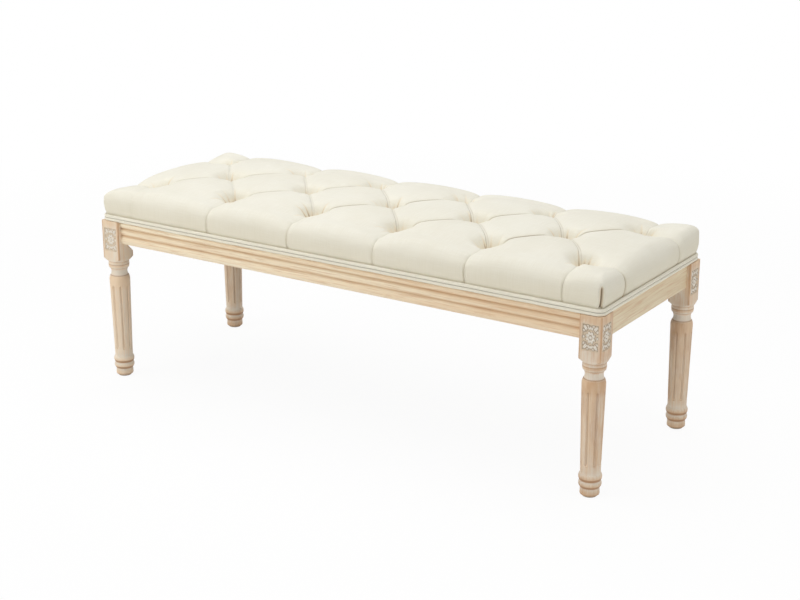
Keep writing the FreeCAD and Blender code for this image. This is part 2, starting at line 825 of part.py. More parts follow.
class Cushion:
    """The tufted form, worked out section by section along the bench.

    A section runs over the top from the rear to the front. Its side is drawn in at the welt and bulges
    above it, its edge rolls over, and two valleys follow the pleats between the tufts.
    """

    END_SCALE = 0.15
    FLAT_RISE = 0.2
    PLEAT_RISE = 1
    HALF_ROW = 2.5

    def __init__(self, inset):
        self.inset = inset
        self.half_length = cover_half_length.value - inset
        self.half_depth = cover_half_depth.value - inset
        self.corner = cell.cover_corner.value - inset
        self.last_tuft = self.HALF_ROW * cell.tuft_pitch.value

    def shrink(self, x):
        """Gives how far the sides draw in round the corners."""
        past = abs(x) - (self.half_length - self.corner)
        if past <= 0:
            return 0
        return self.corner - math.sqrt(max(self.corner ** 2 - past ** 2, 0))

    def end_scale(self, x):
        """Gives the height scale that rolls the top down at the ends."""
        roll = cell.end_roll.value
        left = self.half_length - abs(x)
        if left >= roll:
            return 1
        return max(self.END_SCALE, math.sqrt(1 - ((roll - left) / roll) ** 2))

    def valley(self, x):
        """Gives the valley's outer and inner edge, its level and the rise between the valleys."""
        step = half_pitch.value
        row_gap = cell.tuft_row_gap.value
        flat = cell.tuft_flat.value
        pleat = cell.pleat_half_width.value
        crown = cell.crown_level.value
        tuft = cell.tuft_level.value
        slack = cell.pleat_level.value - tuft
        past_tufts = abs(x) - self.last_tuft - flat
        if past_tufts > TINY:
            level = tuft + slack * min(1, past_tufts / (self.half_length - self.last_tuft - 2 * flat))
            return row_gap + pleat, row_gap - pleat, level, cell.end_crown_level.value - level
        share = abs((abs(x) / step) % 2 - 1)
        off_tuft = abs(abs(x) - step * round(abs(x) / step))
        if off_tuft <= flat + TINY:
            if share > 0.5:
                return flat, pleat, tuft, self.FLAT_RISE
            return row_gap + flat, row_gap - flat, tuft, crown - tuft
        middle = row_gap * (1 - share)
        level = tuft + slack * (1 - abs(2 * share - 1))
        return middle + pleat, middle - pleat, level, crown - slack * share ** 2 - level

    def edge(self, x):
        """Gives the level of the rolled edge and the rise of the top between edge and valley."""
        step = half_pitch.value
        share = min(abs((abs(x) / step) % 2 - 1), 1)
        if abs(x) > self.last_tuft + TINY:
            share = 0
        if share < TINY and abs(x) <= self.last_tuft + TINY:
            return cell.edge_pleat_level.value, self.PLEAT_RISE
        gentle = cell.roll_bulge.value
        return cell.edge_level.value, gentle + 2 * gentle * share

    def corners(self, x, low):
        """Gives the section's corners as (y, z, rise to the right), from the rear hem to the front one."""
        wide = self.half_depth - self.shrink(x)
        scale = self.end_scale(x)
        side = cell.side_level.value - self.inset
        outer, inner, valley_level, inner_rise = self.valley(x)
        edge_level, outer_rise = self.edge(x)

        def scaled(level):
            drawn = level - self.inset
            if drawn <= side:
                return drawn
            return side + (drawn - side) * scale

        rear = [
            (wide, low, 0),
            (wide, deck_top.value, cell.side_bulge.value),
            (wide + cell.side_lean.value, side, cell.roll_bulge.value * scale),
            (wide - cell.roll_depth.value, scaled(edge_level), outer_rise * scale),
            (outer, scaled(valley_level), 0),
            (inner, scaled(valley_level), inner_rise * scale),
        ]
        spots = [(y, z) for y, z, _ in rear]
        rises = [rise for _, _, rise in rear]
        front_spots = [(-y, z) for y, z in reversed(spots)]
        front_rises = list(reversed(rises[:-1])) + [0]
        return [(y, z, rise) for (y, z), rise in zip(spots + front_spots, rises + front_rises)]

    def stations(self):
        """Gives the places of the sections along the bench: at and between the tufts and round the ends."""
        flat = cell.tuft_flat.value
        step = half_pitch.value
        places = []
        last = round(2 * self.HALF_ROW)
        for number in range(last + 1):
            here = number * step
            places += [here - flat, here + flat] if number % 2 == 0 else [here - flat, here, here + flat]
            if number < last:
                places.append(here + step / 2)
        roll_start = self.half_length - cell.end_roll.value
        round_start = self.half_length - self.corner
        round_half = self.half_length - self.corner / 2
        round_most = self.half_length - self.corner / 8
        places += [roll_start, round_start, round_half, round_most, self.half_length]
        return sorted({round(sign * place, 6) for place in places for sign in (1, -1)})


def section_edges(x, corners):
    """Gives the edges of an open run of lines and arcs across the bench at one place."""
    edges = []
    for (y, z, rise), (next_y, next_z, _) in zip(corners, corners[1:]):
        begin = FreeCAD.Vector(x, y, z)
        end = FreeCAD.Vector(x, next_y, next_z)
        if rise == 0:
            edges.append(Part.LineSegment(begin, end).toShape())
            continue
        along = end - begin
        right = FreeCAD.Vector(0, along.z, -along.y).normalize()
        edges.append(Part.Arc(begin, (begin + end) * 0.5 + right * rise, end).toShape())
    return edges


def join(x, points):
    """Gives a straight edge between two points of one section."""
    ends = [FreeCAD.Vector(x, y, z) for y, z, _ in points]
    return Part.LineSegment(*ends).toShape()


def make_foam(tools):
    """Makes the foam: a ruled loft through the sections, with its flat underside on the deck."""
    form = Cushion(cell.cover_thick.value + cell.foam_gap.value)
    wires = []
    for x in form.stations():
        corners = form.corners(x, deck_top.value)[1:-1]
        wires.append(Part.Wire(section_edges(x, corners) + [join(x, (corners[-1], corners[0]))]))
    loft = doc.addObject("Part::Feature", "foam_loft")
    loft.Shape = Part.makeLoft(wires, True, True)
    keep(cut("foam_cut", loft, tools), "seat_foam")


def make_cover(tools):
    """Makes the cover: a ruled loft through thin arched sections, closed at both ends, open below."""
    outside = Cushion(0)
    inside = Cushion(cell.cover_thick.value)
    low = cell.hem_level.value
    wires = []
    for x in inside.stations():
        over = outside.corners(x, low)
        under = inside.corners(x, low)
        edges = section_edges(x, over) + section_edges(x, under)
        edges += [join(x, (over[-1], under[-1])), join(x, (under[0], over[0]))]
        wires.append(Part.Wire(Part.__sortEdges__(edges)))
    arch = Part.makeLoft(wires, True, True)
    ends = []
    for sign in (1, -1):
        x = sign * inside.half_length
        over = outside.corners(x, low)
        face = Part.Face(Part.Wire(section_edges(x, over) + [join(x, (over[-1], over[0]))]))
        ends.append(face.extrude(FreeCAD.Vector(sign * cell.cover_thick.value, 0, 0)))
    shell = doc.addObject("Part::Feature", "cover_loft")
    shell.Shape = arch.fuse(ends)
    keep(cut("cover_cut", shell, tools), "seat_cover")


# Build in order: fasteners, frame, seat
rail_dowels = make_rail_dowels()
cross_dowels = make_cross_dowels()
leg_bolts = make_leg_bolts()
block_screws, block_screw_holes = make_block_screws()
deck_screws, deck_screw_holes = make_deck_screws()
tie_holes = make_tuft_ties()
make_tuft_buttons()
for corner in CORNERS:
    glide = make_glide(corner)
    make_leg(corner, [rail_dowels, leg_bolts, glide])
    make_corner_block(corner, [leg_bolts, block_screws, block_screw_holes, deck_screws, deck_screw_holes])
make_rosettes()
for face_rotation, face_name in ((HALF_TURN, "front"), (FreeCAD.Rotation(), "rear")):
    make_long_rail(f"{face_name}_rail", face_rotation, [rail_dowels, cross_dowels, block_screws])
for side_rotation, side_name in ((FreeCAD.Rotation(), "right"), (HALF_TURN, "left")):
    make_end_rail(f"{side_name}_end_rail", side_rotation, [rail_dowels, block_screws])
for side, side_name in SIDES:
    make_cross_rail(f"{side_name}_cross_rail", side, [cross_dowels, deck_screws, deck_screw_holes])
make_deck([tie_holes, deck_screws])
make_dust_cover()
make_welt()
make_foam([tie_holes])
make_cover([tie_holes])
doc.recompute()

# Check everything before anything is written
for item in doc.Objects:
    if "Invalid" in item.State or "Error" in item.State:
        raise RuntimeError(f"{item.Name} ({item.Label}) did not build: {item.State}")
for node in nodes:
    if node.Shape.isNull() or not node.Shape.isValid():
        raise RuntimeError(f"{node.Label} has no valid shape")
    print(f"{node.Label}: {len(node.Shape.Solids)} solids, {node.Shape.Volume / 1000:.1f} cm3")

os.makedirs("parts", exist_ok=True)
for node in nodes:
    node.Shape.exportStep(f"parts/{node.Label}.step")
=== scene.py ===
"""A long bench with a diamond tufted seat on a limed wood frame with turned and fluted legs."""

import json
import logging
import math
from dataclasses import dataclass, field
from enum import Enum
from typing import NamedTuple

import bpy
import numpy as np
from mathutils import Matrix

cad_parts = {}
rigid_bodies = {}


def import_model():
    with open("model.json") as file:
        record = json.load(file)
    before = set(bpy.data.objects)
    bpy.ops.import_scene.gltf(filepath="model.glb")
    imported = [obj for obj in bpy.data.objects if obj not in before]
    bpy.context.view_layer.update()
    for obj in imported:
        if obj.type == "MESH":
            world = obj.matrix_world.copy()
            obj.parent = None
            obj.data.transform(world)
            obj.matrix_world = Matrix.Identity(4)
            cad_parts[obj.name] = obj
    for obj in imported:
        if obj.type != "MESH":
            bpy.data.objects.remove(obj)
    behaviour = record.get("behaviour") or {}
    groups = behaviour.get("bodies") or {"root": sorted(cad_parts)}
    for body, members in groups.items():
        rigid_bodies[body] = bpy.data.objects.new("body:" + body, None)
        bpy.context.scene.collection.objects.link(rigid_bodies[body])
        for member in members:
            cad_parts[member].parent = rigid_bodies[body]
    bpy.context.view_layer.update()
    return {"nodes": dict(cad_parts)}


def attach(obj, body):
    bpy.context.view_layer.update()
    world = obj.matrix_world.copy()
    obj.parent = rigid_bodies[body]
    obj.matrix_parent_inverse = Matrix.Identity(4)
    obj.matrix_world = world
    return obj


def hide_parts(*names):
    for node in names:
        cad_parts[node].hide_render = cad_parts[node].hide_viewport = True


for leftover in list(bpy.data.objects):
    bpy.data.objects.remove(leftover)
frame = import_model()

logging.basicConfig(level=logging.INFO, format="%(message)s")
LOG = logging.getLogger("bench")

BODY = "root"
SEED = 41
MM = 0.001


class Grain(Enum):
    """The axis that the wood fibres of a piece run along."""

    X = 0
    Y = 1
    Z = 2


class FoldKind(Enum):
    """Where a fold of the cover runs."""

    LAPPED = "between two tufts, one pillow lapped over the next"
    PAIRED = "between two tufts, as a pair of fine creases"
    TO_HEM = "from a tuft over the edge to the hem"
    CORNER_SLIT = "up the folded corner"


Array = np.ndarray
Pair = tuple[float, float]
Triple = tuple[float, float, float]
Colour = Triple
Socket = bpy.types.NodeSocket
# The colour sockets of a mix node.
MIX_INPUTS = (6, 7)
MIX_OUTPUT = 2
# What the cloth solver is told about the cover, which swells by its pressure.
COVER_CLOTH = {
    "vertex_group_mass": "held", "quality": 5, "mass": 0.4, "tension_stiffness": 12.0,
    "compression_stiffness": 12.0, "shear_stiffness": 4.0, "bending_stiffness": 1.2, "use_pressure": True,
    "uniform_pressure_force": 4.0, "shrink_min": -0.003,
}


def tone(red: int, green: int, blue: int) -> Colour:
    """Turns a screen colour into the linear values that a shader takes.

    Args:
        red: red from 0 to 255.
        green: green from 0 to 255.
        blue: blue from 0 to 255.

    Returns:
        The three linear values.
    """
    parts = np.array([red, green, blue]) / 255.0
    linear = np.where(parts <= 0.04045, parts / 12.92, ((parts + 0.055) / 1.055) ** 2.4)
    return tuple(float(part) for part in linear)


def ease(values: Array, low: float, high: float) -> Array:
    """Rises smoothly from 0 at low to 1 at high, as 3 t squared less 2 t cubed.

    Args:
        values: the values to ease.
        low: where the rise starts.
        high: where the rise ends.

    Returns:
        The eased values, from 0 to 1.
    """
    part = np.clip((values - low) / (high - low), 0.0, 1.0)
    return part * part * (3.0 - 2.0 * part)


def opaque(colour: object) -> object:
    """Adds full opacity to a plain colour, and leaves a socket as it is."""
    return (*colour, 1.0) if isinstance(colour, tuple) else colour


def grain_scale(grain: Grain, across: float, along: float) -> Triple:
    """Scales noise so that it is drawn out along the fibres.

    Args:
        grain: the axis that the fibres run along.
        across: the scale across the fibres.
        along: the scale along the fibres.

    Returns:
        The scales along x, y and z.
    """
    scale = [across, across, across]
    scale[grain.value] = along
    return tuple(scale)


def grid_faces(rows: int, columns: int, close_rows: bool = False, close_columns: bool = False) -> Array:
    """Numbers the four corners of each cell of a grid of points.

    Args:
        rows: points along the first parameter.
        columns: points along the second parameter.
        close_rows: whether the last row joins the first.
        close_columns: whether the last column joins the first.

    Returns:
        One row of four point numbers for each cell.
    """
    first = np.arange(rows if close_rows else rows - 1)
    second = np.arange(columns if close_columns else columns - 1)
    i, j = np.meshgrid(first, second, indexing="ij")
    next_i = (i + 1) % rows
    next_j = (j + 1) % columns
    corners = (i * columns + j, next_i * columns + j, next_i * columns + next_j, i * columns + next_j)
    return np.stack([corner.ravel() for corner in corners], axis=1)


def grid_border(rows: int, columns: int) -> Array:
    """The numbers of the points round the edge of a grid, in order."""
    number = np.arange(rows * columns).reshape(rows, columns)
    return np.concatenate([number[:-1, 0], number[-1, :-1], number[:0:-1, -1], number[0, :0:-1]])


def make_piece(name: str, points: Array, faces: list[Array], smooth: bool = True) -> bpy.types.Object:
    """Puts arrays of points and faces into a mesh object at the origin.

    Args:
        name: the piece's name.
        points: one row of x, y and z for each point, in metres.
        faces: arrays of point numbers, one row for each face, each array with its own count of corners.
        smooth: whether the faces are shaded as one smooth surface.

    Returns:
        The new object, linked to the scene.
    """
    mesh = bpy.data.meshes.new(name)
    corners = np.concatenate([block.ravel() for block in faces]).astype(np.int32)
    counts = np.concatenate([np.full(len(block), block.shape[1]) for block in faces]).astype(np.int32)
    starts = np.concatenate([[0], np.cumsum(counts)[:-1]]).astype(np.int32)
    mesh.vertices.add(len(points))
    mesh.vertices.foreach_set("co", np.ascontiguousarray(points, dtype=np.float32).ravel())
    mesh.loops.add(len(corners))
    mesh.loops.foreach_set("vertex_index", corners)
    mesh.polygons.add(len(counts))
    mesh.polygons.foreach_set("loop_start", starts)
    mesh.polygons.foreach_set("use_smooth", np.full(len(counts), smooth))
    mesh.update(calc_edges=True)
    mesh.validate()
    piece = bpy.data.objects.new(name, mesh)
    bpy.context.scene.collection.objects.link(piece)
    return piece


def lay_map(piece: bpy.types.Object, places: Array) -> None:
    """Gives a mesh a map in metres, so that a weave follows its surface.

    Args:
        piece: the object.
        places: one row of two map values for each point.
    """
    mesh = piece.data
    numbers = np.zeros(len(mesh.loops), dtype=np.int32)
    mesh.loops.foreach_get("vertex_index", numbers)
    layer = mesh.uv_layers.new(name="cloth")
    layer.data.foreach_set("uv", places[numbers].astype(np.float32).ravel())


def lay_attribute(piece: bpy.types.Object, name: str, values: Array) -> None:
    """Stores one number for each point of a mesh, for its material to read."""
    layer = piece.data.attributes.new(name, "FLOAT", "POINT")
    layer.data.foreach_set("value", values.astype(np.float32).ravel())


class Recipe:
    """The nodes of one finish, written as short calls."""

    def __init__(self, name: str) -> None:
        """Starts a material with a plain Principled shader.

        Args:
            name: the material's name.
        """
        self.material = bpy.data.materials.new(name)
        self.material.use_nodes = True
        self.tree = self.material.node_tree
        self.tree.nodes.clear()
        self.output = self.add("ShaderNodeOutputMaterial")
        self.skin = self.add("ShaderNodeBsdfPrincipled")
        self.join(self.skin.outputs[0], self.output.inputs["Surface"])

    def add(self, kind: str, **settings: object) -> bpy.types.Node:
        """Adds a node and sets its own properties."""
        node = self.tree.nodes.new(kind)
        for key, value in settings.items():
            setattr(node, key, value)
        return node

    def join(self, source: object, target: Socket) -> None:
        """Links a socket to an input, or sets a plain value on it."""
        if isinstance(source, Socket):
            self.tree.links.new(source, target)
        else:
            target.default_value = source

    @staticmethod
    def fill(node: bpy.types.Node, numbers: dict[str, float]) -> None:
        """Sets plain numbers on the inputs of a node."""
        for key, number in numbers.items():
            node.inputs[key].default_value = number

    def place(self) -> Socket:
        """The point on the piece, in metres."""
        return self.add("ShaderNodeTexCoord").outputs["Object"]

    def map(self) -> Socket:
        """The piece's own cloth map, in metres."""
        return self.add("ShaderNodeUVMap", uv_map="cloth").outputs["UV"]

    def attribute(self, name: str) -> Socket:
        """A number stored on the piece's points."""
        return self.add("ShaderNodeAttribute", attribute_name=name).outputs["Fac"]

    def parts(self, vector: Socket) -> list[Socket]:
        """The three parts of a vector."""
        node = self.add("ShaderNodeSeparateXYZ")
        self.join(vector, node.inputs[0])
        return list(node.outputs)

    def stretch(self, vector: Socket, scale: Triple) -> Socket:
        """Multiplies each part of a vector.

        Args:
            vector: the vector.
            scale: the three factors.

        Returns:
            The new vector.
        """
        node = self.add("ShaderNodeMapping")
        self.join(vector, node.inputs["Vector"])
        node.inputs["Scale"].default_value = scale
        return node.outputs[0]

    def math(self, kind: str, first: object, second: object = 0.0, third: object = 0.0) -> Socket:
        """Does one step of arithmetic.

        Args:
            kind: the operation.
            first: a socket or a number.
            second: the second socket or number, where the operation has one.
            third: the third socket or number, where the operation has one.

        Returns:
            The result.
        """
        node = self.add("ShaderNodeMath", operation=kind)
        for number, source in enumerate((first, second, third)):
            self.join(source, node.inputs[number])
        return node.outputs[0]

    def rise(self, value: object, low: float, high: float, first: float = 0.0, last: float = 1.0) -> Socket:
        """Steps smoothly from first to last while a value goes from low to high.

        Args:
            value: a socket or a number.
            low: where the step starts.
            high: where the step ends.
            first: the result up to low.
            last: the result from high on.

        Returns:
            The result.
        """
        node = self.add("ShaderNodeMapRange", interpolation_type="SMOOTHSTEP", clamp=True)
        self.join(value, node.inputs["Value"])
        self.fill(node, {"From Min": low, "From Max": high, "To Min": first, "To Max": last})
        return node.outputs[0]

    def noise(self, vector: Socket, scale: float, detail: float = 4.0, rough: float = 0.55,
              bend: float = 0.0) -> Socket:
        """Draws layered noise around one half.

        Args:
            vector: where it is read.
            scale: how fine it is.
            detail: how many layers it has.
            rough: the strength of each layer against the one before.
            bend: how far it is distorted.

        Returns:
            The noise.
        """
        node = self.add("ShaderNodeTexNoise")
        self.join(vector, node.inputs["Vector"])
        self.fill(node, {"Scale": scale, "Detail": detail, "Roughness": rough, "Distortion": bend})
        return node.outputs["Fac"]

    def steps(self, value: object, stops: list[Pair]) -> Socket:
        """Reads a grey ramp.

        Args:
            value: the place on the ramp, from 0 to 1.
            stops: the position and the level of each stop.

        Returns:
            The level.
        """
        node = self.add("ShaderNodeValToRGB")
        self.join(value, node.inputs[0])
        marks = node.color_ramp.elements
        while len(marks) < len(stops):
            marks.new(0.5)
        for mark, (position, level) in zip(marks, stops):
            mark.position = position
            mark.color = (level, level, level, 1.0)
        return node.outputs["Color"]

    def blend(self, share: object, first: object, second: object) -> Socket:
        """Mixes two colours.

        Args:
            share: the share of the second colour.
            first: a colour or a socket.
            second: a colour or a socket.

        Returns:
            The mixed colour.
        """
        node = self.add("ShaderNodeMix", data_type="RGBA")
        self.join(share, node.inputs[0])
        for number, side in zip(MIX_INPUTS, (first, second)):
            self.join(opaque(side), node.inputs[number])
        return node.outputs[MIX_OUTPUT]

    def relief(self, height: Socket, depth: float, under: object = None) -> Socket:
        """Turns a height into a normal.

        Args:
            height: the height, from 0 to 1.
            depth: what a height of 1 stands for, in metres.
            under: the normal of another relief that this one lies on.

        Returns:
            The normal.
        """
        node = self.add("ShaderNodeBump")
        self.fill(node, {"Strength": 1.0, "Distance": depth})
        self.join(height, node.inputs["Height"])
        if under is not None:
            self.join(under, node.inputs["Normal"])
        return node.outputs[0]

    def finish(self, colour: object, roughness: object, normal: object = None,
               **plain: float) -> bpy.types.Material:
        """Joins the colour, roughness and normal to the shader, and sets its plain values.

        Args:
            colour: a colour or a socket.
            roughness: a number or a socket.
            normal: a normal socket, where there is relief.
            plain: values for other inputs, with spaces in their names written as underscores.

        Returns:
            The finished material.
        """
        self.join(opaque(colour), self.skin.inputs["Base Color"])
        self.join(roughness, self.skin.inputs["Roughness"])
        if normal is not None:
            self.join(normal, self.skin.inputs["Normal"])
        self.fill(self.skin, {key.replace("_", " "): number for key, number in plain.items()})
        return self.material


@dataclass(frozen=True)
class Linen:
    """Plain woven upholstery linen with slubs in both threads."""

    name: str = "natural_linen"
    pale: Colour = tone(242, 239, 227)
    deep: Colour = tone(228, 222, 203)
    # Painted shade: warm in the pits and gathers, dark in the corner slits and along the line beside each
    # fold.
    hollow: Colour = tone(240, 225, 198)
    crease: Colour = tone(148, 118, 86)
    # Painted warm shade on the sides of the seat: full below the lower level, gone at the top edge.
    side_shade: Colour = tone(238, 228, 200)
    side_shade_share: float = 0.34
    side_shade_low: float = 0.390
    side_shade_high: float = 0.436
    # Shares of the painted shade in hollows and creases, and of the painted shade line beside each fold.
    hollow_share: float = 0.6
    crease_share: float = 0.62
    line_share: float = 0.7
    line_half: float = 1.3 * MM
    thread: float = 0.75 * MM
    thread_shade: float = 0.10
    thread_relief: float = 0.10 * MM
    slub_length: float = 45 * MM
    slub_threads: float = 1.6
    slub_share: float = 0.3
    slub_relief: float = 0.16 * MM
    cloud_scale: float = 7.0
    cloud_share: float = 0.2
    # Values between which each effect starts and is full.
    slub_range: Pair = (0.36, 0.62)
    cloud_range: Pair = (0.35, 0.65)
    thread_range: Pair = (0.0, 0.75)
    hollow_range: Pair = (0.05, 0.55)
    crease_range: Pair = (0.40, 1.0)
    roughness: float = 0.92
    sheen: float = 0.12
    sheen_roughness: float = 0.5
    shine: float = 0.2

    def build(self) -> bpy.types.Material:
        """Weaves two sets of threads on the cloth map.

        The height is the rounded top of the thread that lies over at each crossing, which is the warp where
        the crossings' count is even and the weft where it is odd. Slubs are noise drawn out along each
        thread. Painted shade in the hollows and creases, and a painted shade line beside each fold, are read
        from the values stored on the cloth; the lower sides get painted warm shade by height.

        Returns:
            The material.
        """
        cook = Recipe(self.name)
        cloth = cook.map()
        across, along, _ = cook.parts(cloth)
        warp_place = cook.math("DIVIDE", across, self.thread)
        weft_place = cook.math("DIVIDE", along, self.thread)
        warp, weft = [
            cook.math("ABSOLUTE", cook.math("SINE", cook.math("MULTIPLY", place, math.pi)))
            for place in (warp_place, weft_place)
        ]
        count = cook.math("ADD", cook.math("FLOOR", warp_place), cook.math("FLOOR", weft_place))
        odd = cook.math("FLOORED_MODULO", count, 2.0)
        height = cook.blend(odd, warp, weft)
        fine, long = 1.0 / (self.slub_threads * self.thread), 1.0 / self.slub_length
        warp_slub, weft_slub = [
            cook.noise(cook.stretch(cloth, scale), 1.0, 2.0)
            for scale in ((fine, long, 1.0), (long, fine, 1.0))
        ]
        slub = cook.math("MULTIPLY", cook.math("ADD", warp_slub, weft_slub), 0.5)
        cloud = cook.noise(cloth, self.cloud_scale, 3.0)
        by_slub = cook.rise(slub, *self.slub_range, 0.0, self.slub_share)
        by_cloud = cook.rise(cloud, *self.cloud_range, 0.0, self.cloud_share)
        shade = cook.rise(height, *self.thread_range, self.thread_shade, 0.0)
        share = cook.math("ADD", cook.math("ADD", by_slub, by_cloud), shade)
        woven = cook.blend(share, self.pale, self.deep)
        # Painted warm shade on the lower sides, by height.
        level = cook.parts(cook.place())[2]
        side_shaded = cook.rise(level, self.side_shade_low, self.side_shade_high, self.side_shade_share, 0.0)
        plain = cook.blend(side_shaded, woven, self.side_shade)
        # Painted shade read from the cloth: warm in the hollows, dark in the creases and slits, and a dark
        # line beside each fold.
        fold = cook.attribute("fold")
        in_hollow = cook.rise(fold, *self.hollow_range, 0.0, self.hollow_share)
        in_crease = cook.rise(fold, *self.crease_range, 0.0, self.crease_share)
        creased = cook.blend(in_crease, cook.blend(in_hollow, plain, self.hollow), self.crease)
        off = cook.math("SUBTRACT", cook.attribute("tuck"), cook.attribute("tuck_gap"))
        near = cook.rise(cook.math("ABSOLUTE", off), 0.0, self.line_half, self.line_share, 0.0)
        line = cook.math("MULTIPLY", near, cook.attribute("fold_shade_line"))
        colour = cook.blend(line, creased, self.crease)
        threads = cook.relief(height, self.thread_relief)
        normal = cook.relief(slub, self.slub_relief, threads)
        return cook.finish(colour, self.roughness, normal, Sheen_Weight=self.sheen,
                           Sheen_Roughness=self.sheen_roughness, Specular_IOR_Level=self.shine)


@dataclass(frozen=True)
class LimedWood:
    """Turned hardwood with white wax left in its hollows and worn off its high edges."""

    name: str = "limed_wood"
    bare: Colour = tone(225, 196, 164)
    worn: Colour = tone(202, 162, 125)
    wax: Colour = tone(235, 227, 214)
    # Painted light: the front left leg is lightened, as if lit more from the left.
    light: Colour = tone(245, 222, 193)
    painted_light_share: float = 0.62
    ring_shade: Colour = tone(172, 128, 92)
    # Painted shade along the floors of the flutes.
    groove_shade: Colour = tone(160, 126, 97)
    flute_count: int = 8
    flute_low: float = 0.066
    flute_high: float = 0.218
    shaft_radius: float = 0.0212
    flute_half: float = 1.3 * MM
    flute_shade_share: float = 0.5
    # Height, reach and share of the painted brown shade under the lower edges of the rings.
    ring_shades: tuple[Triple, ...] = (
        (0.0208, 0.0042, 0.85), (0.0356, 0.0042, 0.85), (0.0040, 0.0040, 0.5), (0.2378, 0.0014, 0.6),
        (0.2546, 0.0013, 0.6), (0.2632, 0.0016, 0.5), (0.2704, 0.0012, 0.45),
    )
    leg_x: float = 0.587
    leg_y: float = 0.1985
    post_half: float = 0.023
    post_foot: float = 0.270
    top: float = 0.37
    fade: float = 6 * MM
    wax_share: float = 0.85
    rub_share: float = 0.9
    tint_share: float = 0.75
    pore_depth: float = 0.12 * MM
    # Scales of the noise across and along the fibres.
    grain_scale: Pair = (420.0, 9.0)
    patch_scale: Pair = (70.0, 26.0)
    tint_scale: Pair = (45.0, 12.0)
    # Values between which each effect starts and is full.
    wax_range: Pair = (0.12, 0.98)
    tint_range: Pair = (0.38, 0.66)
    rub_range: Pair = (0.30, 0.55)
    left_range: Pair = (-0.3, 0.3)
    front_range: Pair = (-0.1, 0.1)
    rear_light_share: float = 0.1
    rub_least: float = 0.45
    uneven_leg: float = 0.6
    uneven_post: float = 1.2
    edge_width: float = 5.0 * MM
    edge_worn: float = 1.2 * MM
    roughness: Pair = (0.50, 0.72)
    shine: float = 0.35
    # Height and share of white wax, from the foot to the top of the post.
    bands: tuple[Pair, ...] = (
        (0.0030, 0.15), (0.0090, 0.25), (0.0135, 0.48), (0.0180, 0.66), (0.0200, 0.10), (0.0238, 0.12),
        (0.0268, 0.42), (0.0320, 0.86), (0.0345, 0.12), (0.0385, 0.12), (0.0416, 0.40), (0.0472, 0.76),
        (0.0560, 0.58), (0.0680, 0.46), (0.2040, 0.42), (0.2160, 0.18), (0.2345, 0.14), (0.2372, 0.50),
        (0.2395, 0.90), (0.2500, 0.80), (0.2535, 0.30), (0.2568, 0.75), (0.2590, 0.30), (0.2630, 0.25),
        (0.2660, 0.70), (0.2690, 0.40), (0.2725, 0.65), (0.2780, 0.50), (0.3480, 0.46), (0.3580, 0.20),
    )

    def flutes(self, cook: Recipe, x: Socket, y: Socket, z: Socket) -> Socket:
        """The share of painted shade along the floor of each flute.

        The turn round the leg's axis is folded to the distance from the nearest flute, as the arc that it
        spans on the shaft.

        Args:
            cook: the finish that the nodes belong to.
            x: the place along the bench.
            y: the place across the bench.
            z: the height.

        Returns:
            The share, from 0 to 1.
        """
        off_x = cook.math("SUBTRACT", cook.math("ABSOLUTE", x), self.leg_x)
        off_y = cook.math("SUBTRACT", cook.math("ABSOLUTE", y), self.leg_y)
        pitch = math.tau / self.flute_count
        turn = cook.math("DIVIDE", cook.math("ARCTAN2", off_y, off_x), pitch)
        near = cook.math("ABSOLUTE", cook.math("SUBTRACT", turn, cook.math("ROUND", turn)))
        arc = cook.math("MULTIPLY", near, pitch * self.shaft_radius)
        line = cook.rise(arc, 0.3 * MM, self.flute_half, self.flute_shade_share, 0.0)
        low = cook.rise(z, self.flute_low, self.flute_low + self.fade)
        high = cook.rise(z, self.flute_high - self.fade, self.flute_high, 1.0, 0.0)
        return cook.math("MULTIPLY", line, cook.math("MULTIPLY", low, high))

    def build(self) -> bpy.types.Material:
        """Mixes bare wood, worn edges and wax by height, by grain and by the distance to the post's edges.

        Returns:
            The material.
        """
        cook = Recipe(self.name)
        place = cook.place()
        x, y, z = cook.parts(place)
        side_x, side_y = [
            cook.math("ABSOLUTE", cook.math("SUBTRACT", cook.math("ABSOLUTE", part), axis))
            for part, axis in ((x, self.leg_x), (y, self.leg_y))
        ]
        band = cook.steps(cook.math("DIVIDE", z, self.top), [(h / self.top, s) for h, s in self.bands])
        grain = cook.noise(cook.stretch(place, grain_scale(Grain.Z, *self.grain_scale)), 1.0, 5.0, 0.6, 0.3)
        patch = cook.noise(cook.stretch(place, grain_scale(Grain.Z, *self.patch_scale)), 1.0, 4.0, 0.6, 0.4)
        cloud = cook.noise(cook.stretch(place, grain_scale(Grain.Z, *self.tint_scale)), 1.0, 3.0)
        uneven = cook.rise(z, self.post_foot, self.post_foot + self.fade, self.uneven_leg, self.uneven_post)
        lean = cook.math("MULTIPLY_ADD", cook.math("SUBTRACT", patch, 0.5), uneven, band)
        fine = cook.math("MULTIPLY_ADD", cook.math("SUBTRACT", grain, 0.5), 1.0, lean)
        wax = cook.rise(fine, *self.wax_range)
        plain = cook.blend(cook.rise(cloud, *self.tint_range, 0.0, self.tint_share), self.bare, self.worn)
        # Painted light: lightens the front left leg, most at the left end and the front.
        from_left = cook.rise(x, *self.left_range, self.painted_light_share, 0.0)
        from_front = cook.rise(y, *self.front_range, 1.0, self.rear_light_share)
        wood = cook.blend(cook.math("MULTIPLY", from_left, from_front), plain, self.light)
        near = cook.math("MINIMUM", side_x, side_y)
        edge = cook.rise(near, self.post_half - self.edge_width, self.post_half - self.edge_worn)
        rough_edge = cook.math("MULTIPLY", edge, cook.rise(patch, *self.rub_range, self.rub_least, 1.0))
        on_post = cook.rise(z, self.post_foot - 2 * MM, self.post_foot + self.fade)
        rub = cook.math("MULTIPLY", rough_edge, on_post)
        washed = cook.blend(cook.math("MULTIPLY", wax, self.wax_share), wood, self.wax)
        colour = cook.blend(cook.math("MULTIPLY", rub, self.rub_share), washed, self.worn)
